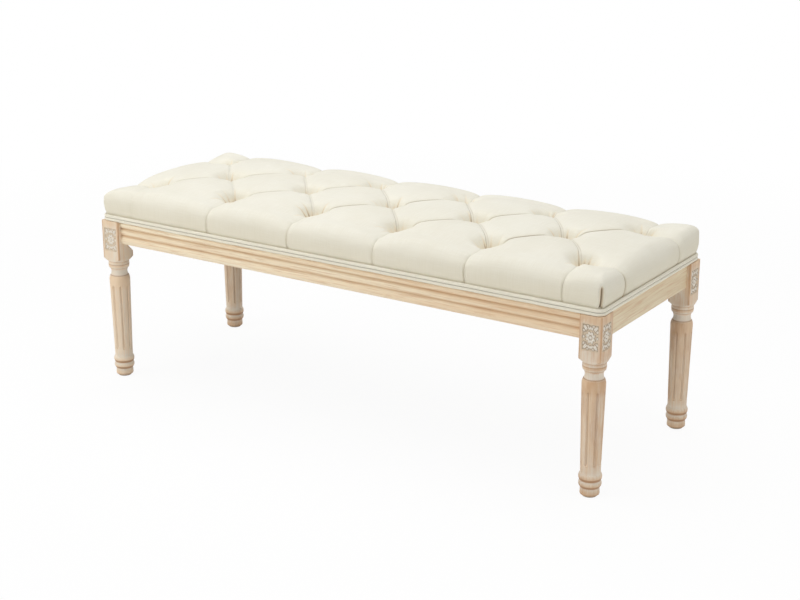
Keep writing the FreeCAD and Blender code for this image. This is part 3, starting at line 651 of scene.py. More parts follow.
        # Painted shade: brown under the lower edge of each ring and at the foot.
        for level, reach, share in self.ring_shades:
            off = cook.math("ABSOLUTE", cook.math("SUBTRACT", z, level))
            colour = cook.blend(cook.rise(off, 0.3 * reach, reach, share, 0.0), colour, self.ring_shade)
        # Painted shade along the flutes.
        colour = cook.blend(self.flutes(cook, x, y, z), colour, self.groove_shade)
        pores = cook.relief(grain, self.pore_depth)
        rough = cook.rise(wax, 0.0, 1.0, *self.roughness)
        return cook.finish(colour, rough, pores, Specular_IOR_Level=self.shine)


@dataclass(frozen=True)
class RailWood:
    """Pale hardwood with a thin waxed finish, its fibres along the rail."""

    name: str
    grain: Grain
    pale: Colour = tone(254, 242, 216)
    deep: Colour = tone(245, 222, 190)
    streak: Colour = tone(206, 160, 120)
    streak_share: float = 0.5
    # Painted shade in and beside the two grooves between the beads.
    groove: Colour = tone(198, 160, 120)
    grooves: tuple[float, ...] = (0.349, 0.333)
    groove_shade_half: float = 5.5 * MM
    groove_shade_share: float = 0.5
    # A darker, more orange tint that grows from the middle towards the right end of the rail.
    right_tint: Colour = tone(228, 186, 144)
    right_tint_from: float = -0.10
    right_tint_to: float = 0.50
    right_tint_share: float = 0.36
    grooved: bool = True
    # Scales of the noise across and along the fibres.
    fibre_scale: Pair = (520.0, 11.0)
    growth_scale: Pair = (85.0, 3.2)
    streak_scale: Pair = (300.0, 13.0)
    # Values between which each effect starts and is full.
    growth_range: Pair = (0.34, 0.68)
    fibre_range: Pair = (0.42, 0.72)
    streak_range: Pair = (0.46, 0.70)
    growth_share: float = 0.7
    fibre_share: float = 0.35
    pore_depth: float = 0.08 * MM
    roughness: Pair = (0.48, 0.62)
    shine: float = 0.35

    def build(self) -> bpy.types.Material:
        """Draws fine fibres and wider bands of growth along the rail, painted shade round the two grooves,
        and a tint towards the right end.

        Returns:
            The material.
        """
        cook = Recipe(self.name)
        place = cook.place()
        fibre_place, growth_place, streak_place = [
            cook.stretch(place, grain_scale(self.grain, *scale))
            for scale in (self.fibre_scale, self.growth_scale, self.streak_scale)
        ]
        fibre = cook.noise(fibre_place, 1.0, 4.0, 0.6)
        growth = cook.noise(growth_place, 1.0, 3.0, 0.55, 0.6)
        streaks = cook.noise(streak_place, 1.0, 3.0, 0.65, 0.3)
        by_growth = cook.rise(growth, *self.growth_range, 0.0, self.growth_share)
        by_fibre = cook.rise(fibre, *self.fibre_range, 0.0, self.fibre_share)
        by_streak = cook.rise(streaks, *self.streak_range, 0.0, self.streak_share)
        plain = cook.blend(cook.math("ADD", by_growth, by_fibre), self.pale, self.deep)
        colour = cook.blend(by_streak, plain, self.streak)
        if self.grooved:
            x, _, z = cook.parts(place)
            # Painted shade round the two grooves.
            off = [cook.math("ABSOLUTE", cook.math("SUBTRACT", z, level)) for level in self.grooves]
            first, second = [cook.rise(part, 0.0, self.groove_shade_half, 1.0, 0.0) for part in off]
            groove_shade = cook.math("MULTIPLY", cook.math("MAXIMUM", first, second), self.groove_shade_share)
            toward_right = cook.rise(x, self.right_tint_from, self.right_tint_to, 0.0, self.right_tint_share)
            colour = cook.blend(groove_shade, cook.blend(toward_right, colour, self.right_tint), self.groove)
        pores = cook.relief(fibre, self.pore_depth)
        rough = cook.rise(fibre, 0.3, 0.7, *self.roughness)
        return cook.finish(colour, rough, pores, Specular_IOR_Level=self.shine)


@dataclass(frozen=True)
class CarvedWax:
    """Carved panels with wax packed over the raised leaves and painted brown shade round the foot of each
    leaf.
    """

    name: str = "carved_wax"
    ground: Colour = tone(220, 203, 180)
    # Painted shade round the foot of each leaf, fainter at the left end, where more light falls.
    crevice_shade: Colour = tone(134, 112, 94)
    wax: Colour = tone(238, 232, 222)
    crevice_shade_left: float = 0.12
    crevice_shade_right: float = 0.72
    left_range: Pair = (-0.3, 0.3)
    # Heights of the carving between which the wax starts and is full, and the painted shade starts and ends.
    wax_range: Pair = (0.35, 0.75)
    shade_start: Pair = (0.15, 0.24)
    shade_end: Pair = (0.34, 0.66)
    speck_scale: float = 900.0
    speck_share: float = 0.2
    speck_depth: float = 0.08 * MM
    roughness: float = 0.72
    shine: float = 0.3

    def build(self) -> bpy.types.Material:
        """Mixes ground and wax by the stored height of the carving, with painted shade round the foot of each
        leaf.

        Returns:
            The material.
        """
        cook = Recipe(self.name)
        place = cook.place()
        height = cook.attribute("carve")
        speck = cook.noise(place, self.speck_scale, 3.0, 0.6)
        lean = cook.math("MULTIPLY_ADD", cook.math("SUBTRACT", speck, 0.5), self.speck_share, height)
        waxed = cook.blend(cook.rise(lean, *self.wax_range), self.ground, self.wax)
        # Painted shade round the foot of each leaf, less towards the left end.
        inside = cook.rise(lean, *self.shade_end, 1.0, 0.0)
        foot = cook.math("MULTIPLY", cook.rise(lean, *self.shade_start), inside)
        by_end = cook.rise(cook.parts(place)[0], *self.left_range, self.crevice_shade_left, self.crevice_shade_right)
        colour = cook.blend(cook.math("MULTIPLY", foot, by_end), waxed, self.crevice_shade)
        normal = cook.relief(speck, self.speck_depth)
        return cook.finish(colour, self.roughness, normal, Specular_IOR_Level=self.shine)


@dataclass(frozen=True)
class RawWood:
    """Sawn softwood or plywood that the seat hides."""

    name: str
    grain: Grain
    pale: Colour = tone(226, 198, 154)
    deep: Colour = tone(196, 158, 110)
    ply: float = 0.0
    fibre_scale: Pair = (300.0, 6.0)
    fibre_range: Pair = (0.35, 0.68)
    ply_share: float = 0.6
    layer_range: Pair = (-0.2, 0.3)
    layer_share: float = 0.35
    pore_depth: float = 0.15 * MM
    roughness: float = 0.78
    shine: float = 0.3

    def build(self) -> bpy.types.Material:
        """Draws growth bands along the piece, and the layers of plywood where it has them.

        Returns:
            The material.
        """
        cook = Recipe(self.name)
        place = cook.place()
        fibre_place = cook.stretch(place, grain_scale(self.grain, *self.fibre_scale))
        fibre = cook.noise(fibre_place, 1.0, 4.0, 0.6, 0.2)
        share = cook.rise(fibre, *self.fibre_range)
        if self.ply > 0.0:
            z = cook.parts(place)[2]
            layer = cook.math("SINE", cook.math("MULTIPLY", z, math.tau / self.ply))
            by_layer = cook.rise(layer, *self.layer_range, 0.0, self.layer_share)
            share = cook.math("ADD", cook.math("MULTIPLY", share, self.ply_share), by_layer)
        colour = cook.blend(share, self.pale, self.deep)
        pores = cook.relief(fibre, self.pore_depth)
        return cook.finish(colour, self.roughness, pores, Specular_IOR_Level=self.shine)


@dataclass(frozen=True)
class PlainFinish:
    """A small hidden part's finish: one colour with mottling and a fine texture."""

    name: str
    pale: Colour
    deep: Colour
    roughness: Pair
    mottle: float
    texture: float
    depth: float
    metallic: float = 0.0

    def build(self) -> bpy.types.Material:
        """Mottles the colour and the roughness by noise.

        Returns:
            The material.
        """
        cook = Recipe(self.name)
        place = cook.place()
        cloud = cook.noise(place, self.mottle, 4.0, 0.6)
        speck = cook.noise(place, self.texture, 3.0, 0.6)
        colour = cook.blend(cook.rise(cloud, 0.35, 0.65), self.pale, self.deep)
        rough = cook.rise(speck, 0.3, 0.7, *self.roughness)
        return cook.finish(colour, rough, cook.relief(speck, self.depth), Metallic=self.metallic)


@dataclass(frozen=True)
class FoldShape:
    """How deep and how wide the folds of the cover are, in metres."""

    lapped_depth: float = 0.0085
    paired_depth: float = 0.0060
    top_width: float = 0.085
    hem_depth: float = 0.0035
    hem_width: float = 0.050
    edge_depth: float = 0.0050
    edge_width: float = 0.050
    side_depth: float = 0.0012
    side_width: float = 0.010
    valley_power: float = 4.0
    arch_depth: float = 0.0075
    arch_width: float = 0.105
    lapped_slot: float = 0.0060
    paired_slot: float = 0.0012
    # How far beside the fold its painted shade line lies.
    lapped_gap: float = 0.0028
    paired_gap: float = 0.0023
    edge_slot: float = 0.0004
    side_slot: float = 0.0030
    side_half: float = 0.0024
    # Shares of the painted shade line along each kind of fold.
    side_line: float = 0.62
    paired_line: float = 0.9
    second_line: float = 0.4
    top_line: float = 0.6
    slot_half: float = 0.0030
    slit_depth: float = 0.0120
    slit_half: float = 0.0062
    slit_height: float = 0.060
    lip: float = 0.0010
    lip_reach: float = 0.014
    second_crease: float = 0.0012
    second_offset: float = 0.0060
    side_end: float = 0.040
    edge_start: float = 0.072
    top_start: float = 0.130
    lip_width: float = 0.002
    second_width: float = 0.0016
    # How strongly the opening of a corner slit is painted dark as shade.
    slit_shade_gain: float = 1.6
    # Where each part of a fold starts to show and where it shows in full, in metres along the fold.
    cut_fade: Pair = (0.006, 0.026)
    lapped_left: Pair = (0.018, 0.055)
    paired_front: Pair = (0.005, 0.018)
    far_end: Pair = (0.010, 0.034)
    slit_foot: Pair = (0.002, 0.008)
    pleat_foot: Pair = (0.002, 0.010)
    arch_low: Pair = (0.028, 0.075)
    arch_high: Pair = (0.105, 0.157)
    tuft_near: Pair = (0.008, 0.018)
    tuft_far: Pair = (0.024, 0.060)

    @property
    def gaps(self) -> dict[FoldKind, float]:
        """How far from each kind of fold its painted shade lines lie."""
        return {FoldKind.LAPPED: self.lapped_gap, FoldKind.PAIRED: self.paired_gap, FoldKind.TO_HEM: 0.0,
                FoldKind.CORNER_SLIT: 0.0}


class Drawn(NamedTuple):
    """What one fold does to each point of the cloth: depths and distances in metres, and shares of painted
    shade.
    """

    valley: Array
    arch: Array
    cut: Array
    away: Array
    # Shares of painted shade: a line beside the fold, and the dark in a corner slit.
    line: Array
    slit_shade: Array


@dataclass(frozen=True)
class Fold:
    """One straight fold of the cover, placed on the unrolled cloth."""

    kind: FoldKind
    start: Pair
    end: Pair
    shape: FoldShape
    strength: float = 1.0
    spread: float = 1.0

    def draw_in(self, u: Array, v: Array) -> Drawn:
        """How far the fold draws each point of the cloth inwards.

        Across the fold the valley is one less the root of one less a power of the nearness, which is a hollow
        between two round shoulders. In its middle lies a narrow cut with straight sides.

        Args:
            u: places along the unrolled cloth.
            v: places across the unrolled cloth.

        Returns:
            What the fold does to each point.
        """
        form = self.shape
        run_u, run_v = self.end[0] - self.start[0], self.end[1] - self.start[1]
        length = math.hypot(run_u, run_v)
        off_u, off_v = u - self.start[0], v - self.start[1]
        part = np.clip((off_u * run_u + off_v * run_v) / length**2, 0.0, 1.0)
        away = np.hypot(off_u - part * run_u, off_v - part * run_v)
        gone, left = part * length, (1.0 - part) * length
        if self.kind is FoldKind.CORNER_SLIT:
            return self.slit(gone / math.sqrt(2.0), away)
        if self.kind is FoldKind.TO_HEM:
            aside = (off_v * run_u - off_u * run_v) / length
            return self.pleat(gone, left, away, aside)
        lapped = self.kind is FoldKind.LAPPED
        depth = form.lapped_depth if lapped else form.paired_depth
        slot = form.lapped_slot if lapped else form.paired_slot
        near = np.clip(1.0 - away / form.top_width, 0.0, 1.0)
        valley = depth * (1.0 - np.sqrt(1.0 - near**form.valley_power))
        inner = ease(gone, *form.cut_fade) * ease(left, *form.cut_fade)
        cut = self.strength * slot * inner * np.clip(1.0 - away / form.slot_half, 0.0, 1.0)
        from_left, to_right = (gone, left) if run_u > 0.0 else (left, gone)
        from_front, to_rear = (gone, left) if run_v > 0.0 else (left, gone)
        # The painted shade line beside the fold, faded in at its ends.
        if lapped:
            line = self.strength * ease(from_left, *form.lapped_left) * ease(to_right, *form.far_end)
        else:
            fading = 1.0 - 0.5 * ease(from_front, 0.2 * length, 0.8 * length)
            second_side = (off_u * run_v > off_v * run_u) == (run_v > 0.0)
            share = np.where(second_side, form.second_line, 1.0)
            line = self.strength * form.paired_line * share * fading
            line = line * ease(from_front, *form.paired_front) * ease(to_rear, *form.far_end)
        return Drawn(valley, np.zeros_like(u), cut, away, line, np.zeros_like(u))

    def slit(self, height: Array, away: Array) -> Drawn:
        """The open fold up a corner: a cut with straight sides that ends below the edge.

        Args:
            height: the height over the hem.
            away: the distance to the fold.

        Returns:
            What the fold does to each point.
        """
        form = self.shape
        none = np.zeros_like(away)
        share = ease(height, *form.slit_foot) * (1.0 - ease(height, 0.8 * form.slit_height, form.slit_height))
        open_part = share * np.clip(1.0 - away / form.slit_half, 0.0, 1.0)
        # Painted shade in the open slit.
        slit_shade = np.minimum(form.slit_shade_gain * open_part, 1.0)
        return Drawn(none, none, form.slit_depth * open_part, np.ones_like(away), none, slit_shade)

    def pleat(self, gone: Array, left: Array, away: Array, aside: Array) -> Drawn:
        """A pleat from a tuft over the edge to the hem.

        The cover falls away to the pleat in a broad arch, by the square of the nearness, which is full over
        the edge. On the side the pleat is a cut, one lip stands over the other, and a second faint crease
        runs beside it.

        Args:
            gone: the distance along the pleat from the tuft.
            left: the distance along the pleat to the hem.
            away: the distance to the pleat.
            aside: the distance to one side of the pleat, with its sign.

        Returns:
            What the pleat does to each point.
        """
        form = self.shape
        pull = min(2.5 * self.strength, 1.0)
        over_edge = ease(left, form.side_end, form.edge_start)
        on_top = ease(left, form.edge_start, form.top_start)
        depth = form.side_depth + (form.edge_depth - form.side_depth) * over_edge
        depth = depth + (form.hem_depth - form.edge_depth) * on_top
        width = form.side_width + (form.edge_width - form.side_width) * over_edge
        width = width + (form.hem_width - form.edge_width) * on_top
        near = np.clip(1.0 - away / width, 0.0, 1.0)
        valley = pull * depth * (1.0 - np.sqrt(1.0 - near**form.valley_power))
        high = ease(left, *form.arch_low) * (1.0 - ease(left, *form.arch_high))
        arch = pull * form.arch_depth * high * np.clip(1.0 - away / form.arch_width, 0.0, 1.0) ** 2
        low = (1.0 - over_edge) * ease(left, *form.pleat_foot) * (gone > 0.0)
        slot = self.strength * (form.edge_slot * over_edge * (1.0 - on_top) + form.side_slot * low)
        cut = slot * np.clip(1.0 - away / form.side_half, 0.0, 1.0)
        cut = cut - form.lip * low * np.tanh(aside / form.lip_width) * np.exp(-away / form.lip_reach)
        beside = (aside - form.second_offset) / form.second_width
        cut = cut + form.second_crease * low * np.exp(-(beside**2))
        # The painted shade line along the pleat on the side and next to the tuft.
        line = np.minimum(form.side_line * self.strength, 1.0) * low
        by_tuft = ease(gone, *form.tuft_near) * (1.0 - ease(gone, *form.tuft_far))
        line = np.maximum(line, form.top_line * min(self.strength, 1.0) * by_tuft)
        return Drawn(valley, arch, cut, away / self.spread, line, np.zeros_like(away))


class Tufting(NamedTuple):
    """How all folds and tufts together shape the cloth, in metres, and where they paint shade."""

    sink: Array
    cuts: Array
    clear: Array
    # The painted shade line of the nearest fold and how far it lies from the fold, and the painted dark of
    # the corner slits.
    line: Array
    gap: Array
    slit_shade: Array


@dataclass
class TuftedSeat:
    """The padded seat: a cover drawn down by buttons in three rows, with folds between them."""

    half_length: float = 0.6026
    half_depth: float = 0.2141
    hem_radius: float = 0.0090
    radius_growth: float = 0.5
    radius_room: float = 0.95
    hem_level: float = 0.3655
    edge_level: float = 0.4385
    roll: float = 0.029
    corner_roll: float = 0.020
    left_corner_share: float = 0.2
    swell: float = 0.0065
    swell_start: float = 0.3765
    swell_past: float = 0.002
    swell_power: float = 0.6
    crown: float = 0.0085
    crown_run: float = 0.055
    pitch: float = 0.210
    row: float = 0.121
    cells: int = 44
    strip_cells: int = 8
    rim_cells: int = 60
    rim_even: float = 0.72
    rim_crowded: float = 0.28
    crowding: float = 0.45
    pit_depth: float = 0.0300
    pit_radius: float = 0.0250
    pit_power: float = 5.0
    cloth_thickness: float = 0.0013
    deck_top: float = 0.3795
    button_radius: float = 0.0098
    button_rise: float = 0.0052
    button_level: float = 0.4080
    button_rings: int = 9
    button_spokes: int = 28
    button_middle: float = 0.02
    button_fall: float = 0.8
    button_power: float = 2.4
    button_foot: float = 0.86
    lapped_least: float = 0.45
    paired_least: float = 0.15
    smooth_share: float = 0.25
    nudge_reach: float = 0.055
    even_passes: int = 10
    # The front left corner sits softer: its drop, how far that reaches and the height where it starts.
    worn_drop: float = 0.0075
    worn_reach: float = 0.090
    worn_from: float = 0.376
    # Gathers round a tuft: the least count and one past the greatest, the reach, and the depth in mm.
    gather_count: tuple[int, int] = (12, 16)
    gather_jitter: float = 0.42
    gather_reach: Pair = (0.022, 0.060)
    gather_depth: Pair = (0.5, 3.8)
    gather_start: float = 0.004
    gather_width: float = 0.0012
    gather_widening: float = 0.0017
    gather_power: float = 0.6
    # Painted warm shade in the gathers and the pits: the gather depth that is fully shaded, and the shares of
    # each.
    gather_full: float = 2.6 * MM
    gather_shade: float = 0.62
    sink_shade: float = 0.38
    wander: float = 0.5 * MM
    # Distances over which something starts and is full: from the hem, from a fold, or in depth.
    uneven_fade: Pair = (0.012, 0.040)
    held_by_fold: Pair = (0.0015, 0.0060)
    held_by_hem: Pair = (0.010, 0.024)
    hollow_sink: Pair = (0.012, 0.030)
    # How far the tighter section of a corner reaches before and past the last tuft.
    corner_fade: Pair = (0.03, 0.06)
    # How much the strength of the folds and of the pleats varies.
    fold_range: Pair = (0.75, 1.0)
    pleat_range: Pair = (0.6, 1.0)
    # Points on the side, the roll and the flat of a section, and on the whole of it.
    section_points: tuple[int, int, int, int] = (240, 160, 40, 500)
    smooth_reach: int = 24
    smooth_width: float = 10.0
    swell_cap: float = 4 * MM
    swell_frames: int = 20
    # Tufts that were pulled a little off the pattern: row, place in the row, and shift along the bench.
    nudges: tuple[tuple[int, float, float], ...] = (
        (-1, -2.5, -0.005), (-1, 2.5, -0.007), (0, -2.0, -0.006), (0, 0.0, 0.006), (0, 2.0, -0.004),
        (1, -1.5, 0.010), (1, 0.5, 0.010),
    )
    folds_shape: FoldShape = field(default_factory=FoldShape)
    linen: Linen = field(default_factory=Linen)
    # Strength of each end pleat and how wide its line is, by end and by side of the bench.
    end_pleats: dict[tuple[int, int], Pair] = field(default_factory=lambda: {
        (-1, -1): (1.0, 1.4), (-1, 1): (0.9, 1.3), (1, -1): (1.8, 2.2), (1, 1): (0.8, 1.3),
    })

    def __post_init__(self) -> None:
        """Measures the section over the edge and lists the tufts and the folds."""
        self.measure_section()
        self.reach_u = self.half_length - self.top_inset + self.roll_run
        self.reach_v = self.half_depth - self.top_inset + self.roll_run
        self.end_u = 2.5 * self.pitch
        self.rim = self.reach_u - self.end_u
        self.end_v = self.reach_v - self.rim
        places = np.arange(-2.5, 3.0)
        self.outer_tufts = [(k * self.pitch, side * self.row) for side in (-1, 1) for k in places]
        self.middle_tufts = [(k * self.pitch, 0.0) for k in range(-2, 3)]
        self.folds = self.list_folds()

    def measure_section(self) -> None:
        """Draws the section from the hem to the top twice: along the sides, and tighter at the corners.

        Both end at the same inset and level, and both are kept at even steps of their own length.
        """
        share = self.wave_share(self.edge_level - self.roll)
        self.top_inset = self.roll - self.swell * math.sin(math.pi * share) ** self.swell_power
        self.section_inset, self.section_level = self.draw_section(self.roll)
        self.corner_inset, self.corner_level = self.draw_section(self.corner_roll)
        steps = np.hypot(np.diff(self.section_inset), np.diff(self.section_level))
        self.roll_run = float(steps.sum())
        self.section_run = np.linspace(0.0, self.roll_run, len(self.section_inset))

    def wave_share(self, level: float | Array) -> float | Array:
        """How far a level is up the bulge of the side, from 0 above the welt to 1 just past the edge."""
        whole = self.edge_level + self.swell_past - self.swell_start
        return np.clip((level - self.swell_start) / whole, 0.0, 1.0)

    def draw_section(self, roll: float) -> tuple[Array, Array]:
        """Draws one section: a side that bulges above the welt, a quarter circle, and the start of the top.

        The bulge is a power of half a sine wave of the height. All is drawn as short even steps and smoothed,
        so that no line shows where the parts meet.

        Args:
            roll: the radius of the quarter circle.

        Returns:
            The insets from the hem and the levels, at even steps.
        """
        on_side, on_roll, on_flat, on_whole = self.section_points
        side_top = self.edge_level - roll
        side_level = np.linspace(self.hem_level, side_top, on_side)
        bulge = -self.swell * np.sin(math.pi * self.wave_share(side_level)) ** self.swell_power
        turn = np.linspace(0.0, math.pi / 2, on_roll)[1:]
        roll_inset = bulge[-1] + roll * (1.0 - np.cos(turn))
        roll_level = side_top + roll * np.sin(turn)
        flat_inset = np.linspace(roll_inset[-1], max(self.top_inset, roll_inset[-1] + 1e-6), on_flat)[1:]
        inset = np.concatenate([bulge, roll_inset, flat_inset])
        level = np.concatenate([side_level, roll_level, np.full_like(flat_inset, roll_level[-1])])
        run = np.concatenate([[0.0], np.cumsum(np.hypot(np.diff(inset), np.diff(level)))])
        even = np.linspace(0.0, run[-1], on_whole)
        reach = self.smooth_reach
        kernel = np.exp(-((np.arange(-reach, reach + 1) / self.smooth_width) ** 2))
        kernel /= kernel.sum()

        def smooth(values: Array) -> Array:
            """Averages each value with its neighbours, keeping both ends."""
            drawn = np.interp(even, run, values)
            before, after = 2 * drawn[0] - drawn[reach:0:-1], 2 * drawn[-1] - drawn[-2:-reach - 2:-1]
            return np.convolve(np.concatenate([before, drawn, after]), kernel, mode="valid")

        return smooth(inset), smooth(level)

    def list_folds(self) -> list[Fold]:
        """Lists the folds between tufts, from the outer tufts to the hem, and up the four corners.

        Returns:
            The folds.
        """
        half = self.pitch / 2
        form = self.folds_shape
        draw = np.random.default_rng(SEED)
        folds = []
        for tuft in self.middle_tufts:
            worn = float(ease(np.array(tuft[0]), -self.end_u, 0.5 * self.end_u))
            for way in (-1, 1):
                for side in (-1, 1):
                    kind = FoldKind.LAPPED if way == side else FoldKind.PAIRED
                    first = self.lapped_least if kind is FoldKind.LAPPED else self.paired_least
                    strength = (first + (1.0 - first) * worn) * draw.uniform(*self.fold_range)
                    folds.append(Fold(kind, tuft, (tuft[0] + way * half, side * self.row), form, strength))
        for tuft in self.outer_tufts:
            hem = (tuft[0], math.copysign(self.reach_v, tuft[1]))
            first = self.smooth_share if tuft == self.outer_tufts[0] else 1.0
            folds.append(Fold(FoldKind.TO_HEM, tuft, hem, form, first * draw.uniform(*self.pleat_range)))
        for way in (-1, 1):
            for side in (-1, 1):
                tuft, hem = (way * self.end_u, side * self.row), (way * self.reach_u, side * self.row)
                strength, spread = self.end_pleats[way, side]
                folds.append(Fold(FoldKind.TO_HEM, tuft, hem, form, strength, spread))
        folds += [
            Fold(FoldKind.CORNER_SLIT, (way * self.reach_u, side * self.reach_v),
                 (way * (self.reach_u - self.rim), side * (self.reach_v - self.rim)), form)
            for way in (-1, 1) for side in (-1, 1)
        ]
        return folds

    def lines(self, fineness: float) -> tuple[Array, Array]:
        """The grid lines of the unrolled cloth, with a line on each tuft and fold, crowded near the tufts.

        Args:
            fineness: 1 for the finished cloth, or a half for the cloth that is swollen.

        Returns:
            The lines along u and the lines along v, from hem to hem.
        """
        counts = (self.cells, self.strip_cells, self.rim_cells)
        cells, strip, rim = [round(count * fineness) for count in counts]
        even = np.arange(cells) / cells
        block = even - self.crowding * np.sin(math.tau * even) / math.tau
        spread = np.arange(rim + 1) / rim
        border = self.rim * (self.rim_even * spread + self.rim_crowded * spread**2)
        half_u = np.concatenate([(k + block) * (self.pitch / 2) for k in range(5)] + [self.end_u + border])
        half_v = np.concatenate([
            block * self.row,
            self.row + np.arange(strip) * ((self.end_v - self.row) / strip),
            self.end_v + border,
        ])
        return np.concatenate([-half_u[:0:-1], half_u]), np.concatenate([-half_v[:0:-1], half_v])

    def from_hem(self, u: Array, v: Array) -> Array:
        """The distance of each place on the unrolled cloth from the nearest hem."""
        return np.minimum(self.reach_u - np.abs(u), self.reach_v - np.abs(v))

    def roll_over(self, u: Array, v: Array) -> Array:
        """Lays the unrolled cloth over the plain pad, before any tufting.

        Each point is a distance from the hem. The distance gives its inset and height on the section over the
        edge, and the inset gives a rounded rectangle, on which the point keeps its place along the side. Near
        a corner the rest of the side is shared out evenly along the straight and the arc.

        Args:
            u: places along the unrolled cloth, as a grid.
            v: places across the unrolled cloth, as a grid.

        Returns:
            The grid of points in metres.
        """
        from_end, from_side = self.reach_u - np.abs(u), self.reach_v - np.abs(v)
        gone = np.minimum(from_end, from_side)
        on_top = np.maximum(gone - self.roll_run, 0.0)
        before, past = self.corner_fade
        corner = ease(np.abs(u), self.end_u - before, self.end_u + past)
        corner = corner * ease(np.abs(v), self.row - before, self.row + past)
        corner = corner * np.where(u > 0.0, 1.0, self.left_corner_share)

        def between(soft: Array, tight: Array) -> Array:
            """Reads a section along the sides, and goes over to the tighter one at the corners."""
            plain = np.interp(gone, self.section_run, soft)
            return plain + corner * (np.interp(gone, self.section_run, tight) - plain)

        inset = between(self.section_inset, self.corner_inset) + on_top
        rise = self.crown * (1.0 - np.exp(-((on_top / self.crown_run) ** 2)))
        level = between(self.section_level, self.corner_level) + rise
        half_x, half_y = self.half_length - inset, self.half_depth - inset
        room = np.maximum(np.minimum(half_x - self.end_u, half_y - self.end_v), 0.0)
        wide = self.hem_radius + self.radius_growth * np.maximum(inset, 0.0)
        radius = np.minimum(wide, self.radius_room * room)

        def along(place: Array, start: float, last: Array, half: Array) -> tuple[Array, Array]:
            """Places points along one side.

            Args:
                place: the places on the unrolled cloth.
                start: where the last tuft stands.
                last: the place of the corner on the cloth.
                half: half the length of the rounded rectangle.

            Returns:
                The places on the side, and how far the arc has turned there.
            """
            straight = np.maximum(half - radius - start, 0.0)
            whole = straight + radius * math.pi / 4
            share = np.clip((place - start) / np.maximum(last - start, 1e-9), 0.0, 1.0)
            walked = whole * share
            turn = np.clip((walked - straight) / np.maximum(radius, 1e-9), 0.0, math.pi / 4)
            bent = half - radius + radius * np.sin(turn)
            return np.where(place <= start, place, np.where(walked <= straight, start + walked, bent)), turn

        side_x, turn_x = along(np.abs(u), self.end_u, self.reach_u - gone, half_x)
        side_y, turn_y = along(np.abs(v), self.end_v, self.reach_v - gone, half_y)
        by_side = from_side <= from_end
        x = np.where(by_side, side_x, half_x - radius + radius * np.cos(turn_y))
        y = np.where(by_side, half_y - radius + radius * np.cos(turn_x), side_y)
        return np.stack([np.sign(u) * x, np.sign(v) * y, level], axis=-1)

    @staticmethod
    def outward(points: Array) -> Array:
        """The unit normals of a grid of points, from its differences along both parameters.

        Args:
            points: the grid of points.

        Returns:
            The grid of normals.
        """
        along = np.gradient(points, axis=0)
        across = np.gradient(points, axis=1)
        normal = np.cross(along, across)
        return normal / np.maximum(np.linalg.norm(normal, axis=-1, keepdims=True), 1e-12)

    def tufting(self, u: Array, v: Array) -> Tufting:
        """How the folds and the tufts together draw each point of the cloth inwards.

        Where valleys meet, the depth is the mean of their depths weighted by their fourth powers, which is a
        smooth greatest value. The arches add the greatest of their depths. Each tuft adds a pit, whose depth
        is one over one plus a power of the distance over the pit's radius, which is where it is steepest.

        Args:
            u: the grid of places along the unrolled cloth.
            v: the grid of places across the unrolled cloth.

        Returns:
            The depths, the painted shade line of the nearest fold, and the painted dark of the corner slits.
        """
        total, arches, cuts = np.zeros_like(u), np.zeros_like(u), np.zeros_like(u)
        weight = np.full_like(u, 1e-30)
        clear = np.full_like(u, 1.0)
        line, gap, slit_shade = np.zeros_like(u), np.zeros_like(u), np.zeros_like(u)
        for fold in self.folds:
            drawn = fold.draw_in(u, v)
            total += drawn.valley**5
            weight += drawn.valley**4
            arches = np.maximum(arches, drawn.arch)
            cuts = np.where(np.abs(drawn.cut) > np.abs(cuts), drawn.cut, cuts)
            slit_shade = np.maximum(slit_shade, drawn.slit_shade)
            nearer = drawn.away < clear
            clear = np.where(nearer, drawn.away, clear)
            line = np.where(nearer, drawn.line, line)
            gap = np.where(nearer, fold.shape.gaps[fold.kind], gap)
        pits = np.zeros_like(u)
        for centre_u, centre_v in self.outer_tufts + self.middle_tufts:
            off = np.hypot(u - centre_u, v - centre_v) / self.pit_radius
            pits += self.pit_depth / (1.0 + off**self.pit_power)
        return Tufting(total / weight + arches + pits, cuts, clear, line, gap, slit_shade)

    def gathers(self, u: Array, v: Array) -> Array:
        """The depth of the short gathers that fan out from each tuft.

        Each gather is a line from the tuft. Its depth rises and falls along the line as half a sine, and
        falls off across it with the square of the distance over a width that grows from the tuft outwards.

        Args:
            u: the grid of places along the unrolled cloth.
            v: the grid of places across the unrolled cloth.

        Returns:
            The grid of depths in metres.
        """
        draw = np.random.default_rng(SEED)
        depth = np.zeros_like(u)
        jitter = self.gather_jitter
        for centre_u, centre_v in self.outer_tufts + self.middle_tufts:
            off_u, off_v = u - centre_u, v - centre_v
            count = int(draw.integers(*self.gather_count))
            turns = (np.arange(count) + draw.uniform(-jitter, jitter, count)) * math.tau / count
            reaches = draw.uniform(*self.gather_reach, count)
            depths = draw.uniform(*self.gather_depth, count)
            for turn, reach, deep in zip(turns, reaches, depths):
                gone = off_u * math.cos(turn) + off_v * math.sin(turn)
                aside = off_v * math.cos(turn) - off_u * math.sin(turn)
                part = np.clip((gone - self.gather_start) / reach, 0.0, 1.0)
                width = self.gather_width + self.gather_widening * part
                wave = np.sin(math.pi * part**self.gather_power)
                depth += deep * MM * wave * np.exp(-((aside / width) ** 2))
        return depth

    def nudge(self, points: Array) -> Array:
        """Shifts the cover round the uneven tufts, less and less away from each by a bell curve.

        Args:
            points: the points of the cover.

        Returns:
            The shifted points.
        """
        moved = points.copy()
        for side, place, shift in self.nudges:
            off = np.hypot(points[..., 0] - place * self.pitch, points[..., 1] - side * self.row)
            moved[..., 0] += shift * np.exp(-((off / self.nudge_reach) ** 2))
        return moved

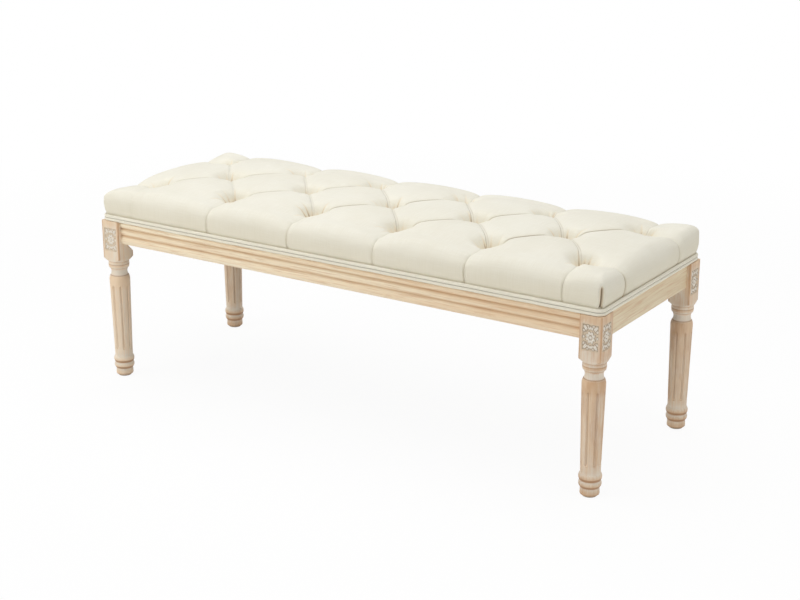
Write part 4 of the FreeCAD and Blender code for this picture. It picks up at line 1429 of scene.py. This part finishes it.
    def soften_corner(self, points: Array) -> Array:
        """Lowers the front left corner by a drop that is eased in with height and out with distance.

        Args:
            points: the points of the cover.

        Returns:
            The lowered points.
        """
        from_end, from_front = points[..., 0] + self.half_length, points[..., 1] + self.half_depth
        near_end = 1.0 - ease(from_end, 0.0, self.worn_reach)
        near_front = 1.0 - ease(from_front, 0.5 * self.worn_reach, 1.8 * self.worn_reach)
        high = ease(points[..., 2], self.worn_from, self.edge_level)
        lower = points.copy()
        lower[..., 2] -= self.worn_drop * near_end * near_front * high
        return lower

    def swell_out(self, points: Array, held: Array) -> Array:
        """Lets the cover swell between its folds in the cloth solver, and returns how far each point moved.

        Args:
            points: the grid of points of the tufted cover.
            held: the grid of pin weights, 1 where a fold, a tuft or the hem holds the cloth.

        Returns:
            The grid of movements, none longer than the cap.
        """
        rows, columns = points.shape[:2]
        trial = make_piece("cover_trial", points.reshape(-1, 3), [grid_faces(rows, columns)])
        group = trial.vertex_groups.new(name="held")
        flat = held.ravel()
        for level in np.unique(np.round(flat, 1)):
            if level > 0.0:
                group.add(np.flatnonzero(np.round(flat, 1) == level).tolist(), float(level), "REPLACE")
        cloth = trial.modifiers.new("cloth", "CLOTH")
        for key, value in COVER_CLOTH.items():
            setattr(cloth.settings, key, value)
        cloth.settings.effector_weights.gravity = 0.0
        cloth.collision_settings.use_collision = False
        scene = bpy.context.scene
        for step in range(1, self.swell_frames + 1):
            scene.frame_set(step)
        view = bpy.context.evaluated_depsgraph_get()
        mesh = trial.evaluated_get(view).to_mesh()
        moved = np.zeros(len(mesh.vertices) * 3, dtype=np.float32)
        mesh.vertices.foreach_get("co", moved)
        scene.frame_set(1)
        bpy.data.objects.remove(trial)
        move = moved.reshape(points.shape).astype(float) - points
        cap = self.swell_cap
        length = np.linalg.norm(move, axis=-1, keepdims=True)
        LOG.info("cover swelled by up to %.1f mm", 1000 * float(length.max()))
        return move * (cap * np.tanh(length / cap) / np.maximum(length, 1e-9))

    def even_out(self, move: Array, held: Array) -> Array:
        """Takes small dents out of the solver's movement.

        In each pass a movement goes half way to the mean of its four neighbours. Where the cloth is held, the
        movement is scaled back by the pin weight.

        Args:
            move: the grid of movements.
            held: the grid of pin weights.

        Returns:
            The smoother grid of movements.
        """
        even = move.copy()
        for _ in range(self.even_passes):
            around = even[:-2, 1:-1] + even[2:, 1:-1] + even[1:-1, :-2] + even[1:-1, 2:]
            even[1:-1, 1:-1] = 0.5 * even[1:-1, 1:-1] + 0.125 * around
        return even * (1.0 - held)[..., None]

    def shape(self) -> tuple[Array, Array, Array, dict[str, Array]]:
        """Works out the finished cover.

        Returns:
            The grid of points, their places along and across the unrolled cloth, and the painted shade that
            the material reads there.
        """
        line_u, line_v = self.lines(1.0)
        u, v = np.meshgrid(line_u, line_v, indexing="ij")
        plain = self.roll_over(u, v)
        normal = self.outward(plain)
        tufted = self.tufting(u, v)
        gathers = self.gathers(u, v)
        waves = np.sin(31 * u + 7 * v) + np.sin(17 * u - 41 * v + 1.3) * np.sin(23 * v + 0.4)
        free = ease(self.from_hem(u, v), *self.uneven_fade)
        depth = tufted.sink + tufted.cuts + (gathers + self.wander * waves) * free
        points = plain - normal * depth[..., None]
        points = points + self.swelling(line_u, line_v)
        # Painted shade for the linen: warm in the pits and the gathers, dark in the corner slits, and a dark
        # line beside the nearest fold.
        sunk = self.sink_shade * ease(tufted.sink, *self.hollow_sink)
        hollow = self.gather_shade * gathers / self.gather_full + sunk
        deep = np.clip(np.maximum(hollow, tufted.slit_shade), 0.0, 1.0)
        read = {"fold": deep, "tuck": tufted.clear, "tuck_gap": tufted.gap, "fold_shade_line": tufted.line}
        return self.soften_corner(self.nudge(points)), u, v, read

    def swelling(self, line_u: Array, line_v: Array) -> Array:
        """Swells a cover of half the fineness, and spreads its movement over the fine grid in straight steps.

        Args:
            line_u: the lines of the fine grid along the cloth.
            line_v: the lines of the fine grid across the cloth.

        Returns:
            The movement of each point of the fine grid.
        """
        rough_u, rough_v = self.lines(0.5)
        u, v = np.meshgrid(rough_u, rough_v, indexing="ij")
        plain = self.roll_over(u, v)
        tufted = self.tufting(u, v)
        points = plain - self.outward(plain) * tufted.sink[..., None]
        by_fold = 1.0 - ease(tufted.clear, *self.held_by_fold)
        by_hem = 1.0 - ease(self.from_hem(u, v), *self.held_by_hem)
        held = np.maximum(by_fold, by_hem)
        move = self.even_out(self.swell_out(points, held), held)
        fine = np.stack([
            np.stack([np.interp(line_u, rough_u, move[:, j, k]) for j in range(len(rough_v))], axis=1)
            for k in range(3)
        ], axis=-1)
        return np.stack([
            np.stack([np.interp(line_v, rough_v, fine[i, :, k]) for i in range(len(line_u))], axis=0)
            for k in range(3)
        ], axis=-1)

    def split(self, u: Array, v: Array) -> Array:
        """Cuts each cell of the grid in two along the way that the nearest fold runs.

        Args:
            u: the grid of places along the unrolled cloth.
            v: the grid of places across the unrolled cloth.

        Returns:
            One row of three point numbers for each triangle.
        """
        cells = grid_faces(*u.shape)
        middle_u = (u[:-1, :-1] + u[1:, 1:]).ravel() / 2
        middle_v = (v[:-1, :-1] + v[1:, 1:]).ravel() / 2
        block = np.floor(middle_u / (self.pitch / 2)).astype(int)
        inner = (np.abs(middle_u) < self.end_u) & (np.abs(middle_v) < self.row)
        rising = np.where(inner, (block % 2 == 0) == (middle_v > 0), middle_u * middle_v > 0)
        a, b, c, d = cells.T
        first = np.where(rising[:, None], np.stack([a, b, c], 1), np.stack([a, b, d], 1))
        second = np.where(rising[:, None], np.stack([a, c, d], 1), np.stack([b, c, d], 1))
        return np.concatenate([first, second])

    def build(self) -> list[bpy.types.Object]:
        """Makes the padded seat with its hem turned in to the deck, and the buttons.

        Returns:
            The seat and the buttons.
        """
        points, u, v, read = self.shape()
        rows, columns = u.shape
        loop = grid_border(rows, columns)
        flat = points.reshape(-1, 3)
        hem = flat[loop]
        inward = -hem * np.array([1.0, 1.0, 0.0])
        inward /= np.linalg.norm(inward, axis=1, keepdims=True)
        turned = hem + inward * self.cloth_thickness
        lining = turned.copy()
        lining[:, 2] = self.deck_top
        count, base = len(loop), rows * columns
        ring = np.arange(count)
        after = (ring + 1) % count
        under = np.stack([loop[ring], base + ring, base + after, loop[after]], axis=1)
        inner = np.stack([base + ring, base + count + ring, base + count + after, base + after], axis=1)
        floor = (base + count + ring[::-1])[None, :]
        every = np.concatenate([flat, turned, lining])
        seat = make_piece("tufted_seat", every, [self.split(u, v), under, inner, floor])
        maps = np.stack([u.ravel(), v.ravel()], axis=1)
        lay_map(seat, np.concatenate([maps, maps[loop], maps[loop]]))
        for name, values in read.items():
            lay_attribute(seat, name, np.concatenate([values.ravel(), np.zeros(2 * count)]))
        finish = self.linen.build()
        seat.data.materials.append(finish)
        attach(seat, BODY)
        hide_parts("seat_cover", "seat_foam")
        return [seat, self.build_buttons(finish)]

    def build_buttons(self, finish: bpy.types.Material) -> bpy.types.Object:
        """Makes the covered buttons: each a dome whose height falls with a power of its radius.

        Args:
            finish: the cloth of the seat.

        Returns:
            All buttons as one piece.
        """
        rings, spokes = self.button_rings, self.button_spokes
        radius = np.linspace(self.button_middle, 1.0, rings)
        turn = np.arange(spokes) * math.tau / spokes
        part, angle = np.meshgrid(radius, turn, indexing="ij")
        rise = self.button_rise * (1.0 - self.button_fall * part**self.button_power)
        dome = np.stack([part * np.cos(angle), part * np.sin(angle)], axis=-1) * self.button_radius
        shell = np.concatenate([dome, rise[..., None]], axis=-1).reshape(-1, 3)
        foot = shell[-spokes:] * np.array([self.button_foot, self.button_foot, 0.0])
        one = np.concatenate([shell, foot])
        tufts = np.array(self.outer_tufts + self.middle_tufts)
        centres = self.nudge(np.column_stack([tufts, np.full(len(tufts), self.button_level)]))
        points = (centres[:, None, :] + one[None, :, :]).reshape(-1, 3)
        start = np.arange(len(tufts))[:, None, None] * len(one)
        sides = (grid_faces(rings + 1, spokes, close_columns=True)[None] + start).reshape(-1, 4)
        top = (np.arange(spokes)[None, None, :] + start).reshape(-1, spokes)
        bottom = (rings * spokes + np.arange(spokes)[::-1][None, None, :] + start).reshape(-1, spokes)
        buttons = make_piece("covered_buttons", points, [sides, top, bottom])
        lay_map(buttons, points[:, :2])
        buttons.data.materials.append(finish)
        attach(buttons, BODY)
        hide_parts("tuft_buttons")
        return buttons


@dataclass
class DoubleWelt:
    """Two covered cords side by side that hide the hem all round."""

    half_length: float = 0.6063
    half_depth: float = 0.2178
    corner_radius: float = 0.0127
    cord_radius: float = 0.0037
    low_level: float = 0.3677
    high_level: float = 0.3747
    step: float = 0.003
    arc_points: int = 17
    groove_shade_half: float = 0.9 * MM
    unevenness: float = 0.004
    drift: float = 0.08 * MM
    # Painted light: the cords' linen is set paler than the seat's, a lit copy of the same cloth for the shade
    # under the seat's edge. Its hollow and crease tones are painted shade.
    linen: Linen = Linen(
        name="welt_linen_lightened", pale=tone(250, 248, 239), deep=tone(238, 233, 218), hollow=tone(226, 222, 210),
        crease=tone(142, 133, 116),
    )

    def path(self) -> tuple[Array, Array, Array]:
        """Draws the centre line as a rounded rectangle.

        Returns:
            Its points, its outward normals and the run along it.
        """
        straight_x = 2 * (self.half_length - self.corner_radius)
        straight_y = 2 * (self.half_depth - self.corner_radius)
        arc = self.corner_radius * math.pi / 2
        lengths = np.array([straight_x, arc, straight_y, arc] * 2)
        whole = lengths.sum()
        run = np.arange(0.0, whole, whole / round(whole / self.step))
        ends = np.concatenate([[0.0], np.cumsum(lengths)])
        leg = np.clip(np.searchsorted(ends, run, side="right") - 1, 0, 7)
        part = run - ends[leg]
        quarter = leg // 2
        on_arc = leg % 2 == 1
        turn = quarter * math.pi / 2 - math.pi / 2 + np.where(on_arc, part / self.corner_radius, 0.0)
        normal = np.stack([np.cos(turn), np.sin(turn)], axis=1)
        forward = np.stack([-np.sin(turn), np.cos(turn)], axis=1)
        signs = np.array([[1, -1], [1, 1], [-1, 1], [-1, -1]])
        inner = np.array([self.half_length - self.corner_radius, self.half_depth - self.corner_radius])
        centre = np.where(on_arc[:, None], signs[quarter] * inner, signs[quarter - 1] * inner)
        ahead = np.where(on_arc, 0.0, part)[:, None] * forward
        return centre + normal * self.corner_radius + ahead, normal, run

    def build(self) -> bpy.types.Object:
        """Carries a figure of eight, two arcs of the cord's radius, round the path, a little uneven as sewn.

        Returns:
            The welt.
        """
        centre, normal, run = self.path()
        half_gap = (self.high_level - self.low_level) / 2
        lean = math.asin(half_gap / self.cord_radius)
        sweep = np.linspace(-lean, math.pi + lean, self.arc_points)
        out = np.concatenate([np.cos(sweep), -np.cos(sweep)[1:-1]]) * self.cord_radius
        upper = half_gap + self.cord_radius * np.sin(sweep)
        up = np.concatenate([upper, -upper[1:-1]])
        whole = run[-1] + (run[1] - run[0])
        turn = run * math.tau / whole
        waves = np.sin(171 * turn) + np.sin(263 * turn + 1.1) + 0.7 * np.sin(401 * turn + 2.0)
        uneven = self.unevenness * waves
        drift = self.drift * (np.sin(29 * turn) + np.sin(47 * turn + 0.7))
        scale = (1.0 + uneven)[:, None]
        middle = (self.high_level + self.low_level) / 2
        plan = centre[:, None, :] + normal[:, None, :] * (out[None, :] * scale)[..., None]
        level = middle + up[None, :] * scale + drift[:, None]
        points = np.concatenate([plan, level[..., None]], axis=-1)
        rows, columns = len(run), len(out)
        welt = make_piece("double_welt_cords", points.reshape(-1, 3), [grid_faces(rows, columns, True, True)])
        around = np.cumsum(np.hypot(np.gradient(out), np.gradient(up)))
        skew = run[:, None] + around[None, :]
        lay_map(welt, np.stack([skew.ravel(), (run[:, None] - around[None, :]).ravel()], axis=1))
        # Painted shade in the groove between the cords and along the top, where the seat's edge overhangs.
        between = np.exp(-((up / self.groove_shade_half) ** 2)) * (out > 0.0)
        above = ease(up, half_gap + 0.90 * self.cord_radius, half_gap + 0.99 * self.cord_radius)
        lay_attribute(welt, "fold", np.tile(np.maximum(0.9 * between, 0.8 * above), rows))
        welt.data.materials.append(self.linen.build())
        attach(welt, BODY)
        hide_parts("double_welt")
        return welt


class Leaf(NamedTuple):
    """A carved leaf in millimetres: its middle, half its length and width, its way, its vein and its rise."""

    centre: Pair
    size: Pair
    way: Pair
    vein: float
    rise: float


@dataclass
class CarvedPanels:
    """The carved panels let into both outer faces of each post: a flower with leaves in the corners."""

    leg_x: float = 0.587
    leg_y: float = 0.1985
    ground_x: float = 0.6075
    ground_y: float = 0.2190
    middle_level: float = 0.322
    half_width: float = 0.0169
    half_height: float = 0.0259
    border_rise: float = 2.4 * MM
    border_flat: float = 0.4 * MM
    border_foot: float = 1.6 * MM
    across: int = 69
    upright: int = 105
    full_carve: float = 2.2 * MM
    petal_count: int = 8
    petal_ring: Pair = (7.0, 8.6)
    petal_size: Pair = (5.0, 3.1)
    petal_vein: float = 0.4
    petal_rise: float = 2.1
    eye_size: Pair = (3.1, 3.5)
    eye_rise: float = 2.6
    # Leaves that are repeated in all four corners, and at both sides or both ends.
    corner_leaves: tuple[Leaf, ...] = (
        Leaf((11.0, 18.6), (7.4, 3.3), (1.0, 1.25), 0.45, 2.2),
        Leaf((14.0, 12.6), (4.6, 2.4), (0.35, 0.9), 0.25, 1.7),
        Leaf((6.0, 22.4), (4.8, 2.3), (1.0, 0.25), 0.25, 1.6),
    )
    side_bud: Leaf = Leaf((14.0, 0.0), (3.4, 3.2), (1.0, 0.0), 0.3, 1.8)
    curl_centre: Pair = (10.2, 11.6)
    curl_radius: float = 2.0
    curl_width: float = 0.75
    curl_rise: float = 1.3
    lobe_size: Pair = (4.6, 2.2)
    lobe_level: float = 18.9
    lobe_gap: float = 3.6
    lobe_lean: float = 0.38
    lobe_vein: float = 0.2
    lobe_rise: float = 1.8
    wax: CarvedWax = field(default_factory=CarvedWax)

    @staticmethod
    def petal(x: Array, y: Array, centre: Pair, size: Pair, turn: float, vein: float) -> Array:
        """A leaf: the root of one less the squared distance from an oval's middle, with a groove along it.

        Args:
            x: places across the panel, in millimetres.
            y: places up the panel, in millimetres.
            centre: the oval's middle.
            size: half the oval's length and half its width.
            turn: the way that the leaf points.
            vein: the depth of the groove, as a share of the height.

        Returns:
            The height, from 0 to 1.
        """
        cos, sin = math.cos(turn), math.sin(turn)
        along = ((x - centre[0]) * cos + (y - centre[1]) * sin) / size[0]
        aside = ((y - centre[1]) * cos - (x - centre[0]) * sin) / size[1]
        taper = 1.0 - 0.35 * along
        dome = np.sqrt(np.clip(1.0 - along**2 - (aside / np.maximum(taper, 0.3)) ** 2, 0.0, 1.0))
        return dome * (1.0 - vein * np.exp(-((aside / 0.22) ** 2)))

    def mirror(self, x: Array, y: Array, leaf: Leaf, side: int, end: int) -> Array:
        """The height of a leaf at one side and one end of the panel.

        Args:
            x: places across the panel, in millimetres.
            y: places up the panel, in millimetres.
            leaf: the leaf as it is at the right and the top.
            side: 1 for the right, or -1 for the left.
            end: 1 for the top, or -1 for the bottom.

        Returns:
            The height in millimetres.
        """
        centre = (side * leaf.centre[0], end * leaf.centre[1])
        way = math.atan2(end * leaf.way[1], side * leaf.way[0])
        return leaf.rise * self.petal(x, y, centre, leaf.size, way, leaf.vein)

    def relief(self, x: Array, y: Array) -> Array:
        """The height of the carving over a panel.

        The greatest of a ring of eight petals, a domed eye, four corner leaves with a curl at each side, a
        three-lobed leaf at the top and the bottom, and a bud at each side.

        Args:
            x: places across the panel, in millimetres.
            y: places up the panel, in millimetres.

        Returns:
            The height in millimetres.
        """
        height = 0.25 + 0.08 * np.sin(1.9 * x + 0.6 * y) * np.sin(1.3 * y - 0.8 * x)
        for k in range(self.petal_count):
            turn = (k + 0.5) * math.tau / self.petal_count
            centre = (self.petal_ring[0] * math.cos(turn), self.petal_ring[1] * math.sin(turn))
            way = math.atan2(centre[1], centre[0])
            petal = self.petal(x, y, centre, self.petal_size, way, self.petal_vein)
            height = np.maximum(height, self.petal_rise * petal)
        eye = np.sqrt(np.clip(1.0 - (x / self.eye_size[0]) ** 2 - (y / self.eye_size[1]) ** 2, 0.0, 1.0))
        height = np.maximum(height, self.eye_rise * eye)
        for side in (-1, 1):
            height = np.maximum(height, self.mirror(x, y, self.side_bud, side, 1))
            for end in (-1, 1):
                for leaf in self.corner_leaves:
                    height = np.maximum(height, self.mirror(x, y, leaf, side, end))
                from_curl = np.hypot(x - side * self.curl_centre[0], y - end * self.curl_centre[1])
                curl = np.exp(-(((from_curl - self.curl_radius) / self.curl_width) ** 2))
                height = np.maximum(height, self.curl_rise * curl)
            for k in (-1, 0, 1):
                centre = (k * self.lobe_gap, side * (self.lobe_level - abs(k)))
                way = side * (math.pi / 2 - self.lobe_lean * k * side)
                lobe = self.petal(x, y, centre, self.lobe_size, way, self.lobe_vein)
                height = np.maximum(height, self.lobe_rise * lobe)
        return height

    def build(self) -> bpy.types.Object:
        """Makes all eight panels as one piece, each with a flat back and upright sides.

        Returns:
            The panels.
        """
        line_a = np.linspace(-self.half_width, self.half_width, self.across)
        line_b = np.linspace(-self.half_height, self.half_height, self.upright)
        a, b = np.meshgrid(line_a, line_b, indexing="ij")
        leaves = self.relief(1000 * a, 1000 * b) * MM
        from_edge = np.minimum(self.half_width - np.abs(a), self.half_height - np.abs(b))
        border = self.border_rise * (1.0 - ease(from_edge, self.border_flat, self.border_foot))
        rise = np.maximum(leaves, border)
        rim_a = np.clip(np.arange(-1, self.across + 1), 0, self.across - 1)
        rim_b = np.clip(np.arange(-1, self.upright + 1), 0, self.upright - 1)
        pick = np.ix_(rim_a, rim_b)
        a, b, rise, carve = a[pick], b[pick], rise[pick], leaves[pick] / self.full_carve
        rise[[0, -1], :] = 0.0
        rise[:, [0, -1]] = 0.0
        level = self.middle_level + b
        blocks = []
        for side_x in (-1, 1):
            for side_y in (-1, 1):
                along, out = side_x * self.leg_x - side_y * a, side_y * (self.ground_y + rise)
                blocks.append(np.stack([along, out, level], -1))
                out, along = side_x * (self.ground_x + rise), side_y * self.leg_y + side_x * a
                blocks.append(np.stack([out, along, level], -1))
        rows, columns = a.shape
        loop = grid_border(rows, columns)[::-1]
        start = np.arange(len(blocks))[:, None, None] * rows * columns
        cells = (grid_faces(rows, columns)[None] + start).reshape(-1, 4)
        backs = (loop[None, None, :] + start).reshape(len(blocks), -1)
        points = np.concatenate([block.reshape(-1, 3) for block in blocks])
        panels = make_piece("carved_panels", points, [cells, backs])
        lay_attribute(panels, "carve", np.tile(carve.ravel(), len(blocks)))
        panels.data.materials.append(self.wax.build())
        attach(panels, BODY)
        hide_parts("carved_rosettes")
        return panels


@dataclass
class DustCover:
    """The thin cloth under the deck that keeps dust out of the seat."""

    half_length: float = 0.579
    half_depth: float = 0.1905
    clip: float = 0.055
    level: float = 0.3637
    bay: float = 0.19
    sag: float = 0.0012
    columns: int = 233
    rows: int = 77
    thickness: float = 0.0005

    def build(self) -> bpy.types.Object:
        """Stretches a sheet with clipped corners, which hangs as a squared sine in each bay between rails.

        Returns:
            The sheet.
        """
        line_s = np.linspace(-1.0, 1.0, self.columns)
        line_y = np.linspace(-self.half_depth, self.half_depth, self.rows)
        s, y = np.meshgrid(line_s, line_y, indexing="ij")
        half = self.half_length - np.maximum(np.abs(y) - (self.half_depth - self.clip), 0.0)
        x = s * half
        outer = np.abs(x) > self.bay
        place = np.where(outer, (np.abs(x) - self.bay) / (half - self.bay), (x + self.bay) / (2 * self.bay))
        across = np.cos(y * math.pi / 2 / self.half_depth)
        fall = self.sag * np.sin(math.pi * place) ** 2 * across
        pucker = 0.15 * MM * np.sin(x * math.tau / 0.05) * np.exp(-(self.half_depth - np.abs(y)) / 0.012)
        points = np.stack([x, y, self.level - fall + pucker], axis=-1)
        sheet = make_piece("dust_cloth", points.reshape(-1, 3), [grid_faces(self.columns, self.rows)])
        wall = sheet.modifiers.new("thickness", "SOLIDIFY")
        wall.thickness = self.thickness
        wall.offset = 0.0
        finish = PlainFinish(
            "black_cambric", tone(52, 51, 50), tone(36, 35, 35), (0.85, 0.95), 40.0, 1800.0, 0.12 * MM)
        sheet.data.materials.append(finish.build())
        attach(sheet, BODY)
        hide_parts("dust_cover")
        return sheet


@dataclass
class WoodFrame:
    """The CAD pieces that show as they are: legs, rails, blocks, deck and fastenings."""

    def dress(self) -> None:
        """Gives every shown CAD node its finish."""
        corners = [f"{end}_{side}" for end in ("front", "rear") for side in ("left", "right")]
        steel = PlainFinish(
            "zinc_steel", tone(196, 197, 198), tone(160, 161, 163), (0.28, 0.42), 90.0, 1500.0, 0.02 * MM,
            metallic=1.0)
        twine = PlainFinish(
            "waxed_twine", tone(222, 212, 190), tone(196, 182, 152), (0.7, 0.9), 300.0, 2400.0, 0.15 * MM)
        plastic = PlainFinish(
            "beige_nylon", tone(196, 186, 170), tone(182, 170, 152), (0.45, 0.6), 120.0, 2600.0, 0.03 * MM)
        # Painted shade: the end rails get darker tones than the front and back rails, a shaded copy of the
        # same wood.
        end_rail = RailWood(
            "rail_wood_across_shaded", Grain.Y, grooved=False, pale=tone(236, 222, 193), deep=tone(220, 200, 166))
        dowel = RawWood("beech_dowel", Grain.X, tone(228, 203, 166), tone(208, 178, 136))
        plywood = RawWood("birch_plywood", Grain.X, tone(230, 208, 170), tone(206, 176, 130), 3.0 * MM)
        finishes = [
            (LimedWood(), [f"{corner}_leg" for corner in corners]),
            (RailWood("rail_wood_along", Grain.X), ["front_rail", "rear_rail"]),
            (end_rail, ["left_end_rail", "right_end_rail"]),
            (RawWood("sawn_pine_across", Grain.Y), ["left_cross_rail", "right_cross_rail"]),
            (RawWood("sawn_pine_blocks", Grain.Z), [f"{corner}_corner_block" for corner in corners]),
            (dowel, ["rail_dowels", "cross_rail_dowels"]),
            (plywood, ["seat_deck"]),
            (steel, ["leg_bolts", "leg_washers", "leg_nuts", "block_screws", "deck_screws"]),
            (twine, ["tuft_ties"]),
            (plastic, [f"{corner}_glide" for corner in corners]),
        ]
        for finish, names in finishes:
            material = finish.build()
            for name in names:
                for place in frame["nodes"][name].material_slots:
                    place.material = material
            LOG.info("dressed %s with %s", ", ".join(names), material.name)


@dataclass(frozen=True)
class Lamp:
    """A square soft lamp that faces a point: its place, side, power in watts, colour and aim."""

    name: str
    place: Triple
    size: float
    power: float
    colour: Colour
    aim: Triple = (0.0, 0.0, 0.3)

    def hang(self) -> None:
        """Adds the lamp to the scene."""
        light = bpy.data.lights.new(self.name, "AREA")
        light.size = self.size
        light.energy = self.power
        light.color = self.colour
        lamp = bpy.data.objects.new(self.name, light)
        lamp.location = self.place
        away = np.array(self.place) - np.array(self.aim)
        flat = math.hypot(away[0], away[1])
        lamp.rotation_euler = (math.atan2(flat, away[2]), 0.0, math.atan2(away[0], -away[1]))
        bpy.context.scene.collection.objects.link(lamp)


WARM: Colour = (1.0, 0.97, 0.89)
COOL: Colour = (0.975, 0.985, 1.0)


@dataclass
class Studio:
    """A white sweep, soft light from above and from the left, and the camera."""

    camera_place: Triple = (1.8206, -2.7428, 1.3172)
    camera_turn: float = 33.16
    camera_pitch: float = 18.32
    lens: float = 73.04
    sensor: float = 36.0
    sky: float = 0.34
    lamps: tuple[Lamp, ...] = (
        Lamp("overhead", (-0.3, 0.1, 3.0), 3.2, 61.0, COOL),
        Lamp("front_left", (-2.6, -3.4, 1.9), 2.4, 60.0, WARM),
        Lamp("right", (3.6, -0.6, 1.6), 2.4, 25.0, WARM),
    )
    floor_size: float = 30.0
    floor_share: float = 0.94
    white_from: float = 1.2
    white_at: float = 2.6

    def build(self) -> None:
        """Makes the camera, the world, the lamps and the floor."""
        scene = bpy.context.scene
        scene.view_settings.view_transform = "Standard"
        lens = bpy.data.cameras.new("camera")
        lens.lens = self.lens
        lens.sensor_width = self.sensor
        lens.clip_end = 100.0
        camera = bpy.data.objects.new("camera", lens)
        camera.location = self.camera_place
        camera.rotation_euler = (math.radians(90.0 - self.camera_pitch), 0.0, math.radians(self.camera_turn))
        scene.collection.objects.link(camera)
        scene.camera = camera
        self.light_world(scene)
        for lamp in self.lamps:
            lamp.hang()
        self.lay_floor()

    def light_world(self, scene: bpy.types.Scene) -> None:
        """Makes a sky that lights evenly, and is plain white to the camera and in reflections.

        Args:
            scene: the scene that gets the sky.
        """
        world = bpy.data.worlds.new("sweep")
        scene.world = world
        world.use_nodes = True
        tree = world.node_tree
        back = tree.nodes["Background"]
        path = tree.nodes.new("ShaderNodeLightPath")
        level = tree.nodes.new("ShaderNodeMapRange")
        level.inputs["To Min"].default_value = self.sky
        level.inputs["To Max"].default_value = 1.0
        seen = path.outputs["Is Camera Ray"]
        for kind in ("Is Glossy Ray", "Is Transmission Ray"):
            either = tree.nodes.new("ShaderNodeMath")
            either.operation = "MAXIMUM"
            tree.links.new(seen, either.inputs[0])
            tree.links.new(path.outputs[kind], either.inputs[1])
            seen = either.outputs[0]
        tree.links.new(seen, level.inputs["Value"])
        tree.links.new(level.outputs[0], back.inputs["Strength"])
        back.inputs["Color"].default_value = (1.0, 1.0, 1.0, 1.0)

    def lay_floor(self) -> None:
        """Lays a white floor that keeps a faint shadow near the bench and is lifted to white further off."""
        half = self.floor_size / 2
        corners = np.array([[-half, -half, 0.0], [half, -half, 0.0], [half, half, 0.0], [-half, half, 0.0]])
        floor = make_piece("studio_floor", corners, [np.array([[0, 1, 2, 3]])], smooth=False)
        cook = Recipe("studio_white")
        matte = cook.finish(tone(250, 250, 250), 0.95, None, Specular_IOR_Level=0.0)
        glow = cook.add("ShaderNodeEmission")
        glow.inputs["Strength"].default_value = 1.0
        path = cook.add("ShaderNodeLightPath")
        seen = path.outputs["Is Camera Ray"]
        for kind in ("Is Glossy Ray", "Is Transmission Ray"):
            seen = cook.math("MAXIMUM", seen, path.outputs[kind])
        x, y, _ = cook.parts(cook.place())
        off = cook.math("SQRT", cook.math("ADD", cook.math("MULTIPLY", x, x), cook.math("MULTIPLY", y, y)))
        lifted = cook.rise(off, self.white_from, self.white_at, self.floor_share, 1.0)
        share = cook.math("MULTIPLY", seen, lifted)
        both = cook.add("ShaderNodeMixShader")
        cook.join(share, both.inputs[0])
        cook.join(cook.skin.outputs[0], both.inputs[1])
        cook.join(glow.outputs[0], both.inputs[2])
        cook.join(both.outputs[0], cook.output.inputs["Surface"])
        floor.data.materials.append(matte)


def main() -> None:
    """Builds the bench piece by piece."""
    Studio().build()
    WoodFrame().dress()
    pieces = [*TuftedSeat().build(), DoubleWelt().build(), CarvedPanels().build(), DustCover().build()]
    for piece in pieces:
        LOG.info("%s: %d faces", piece.name, len(piece.data.polygons))


if __name__ == "__main__":
    main()
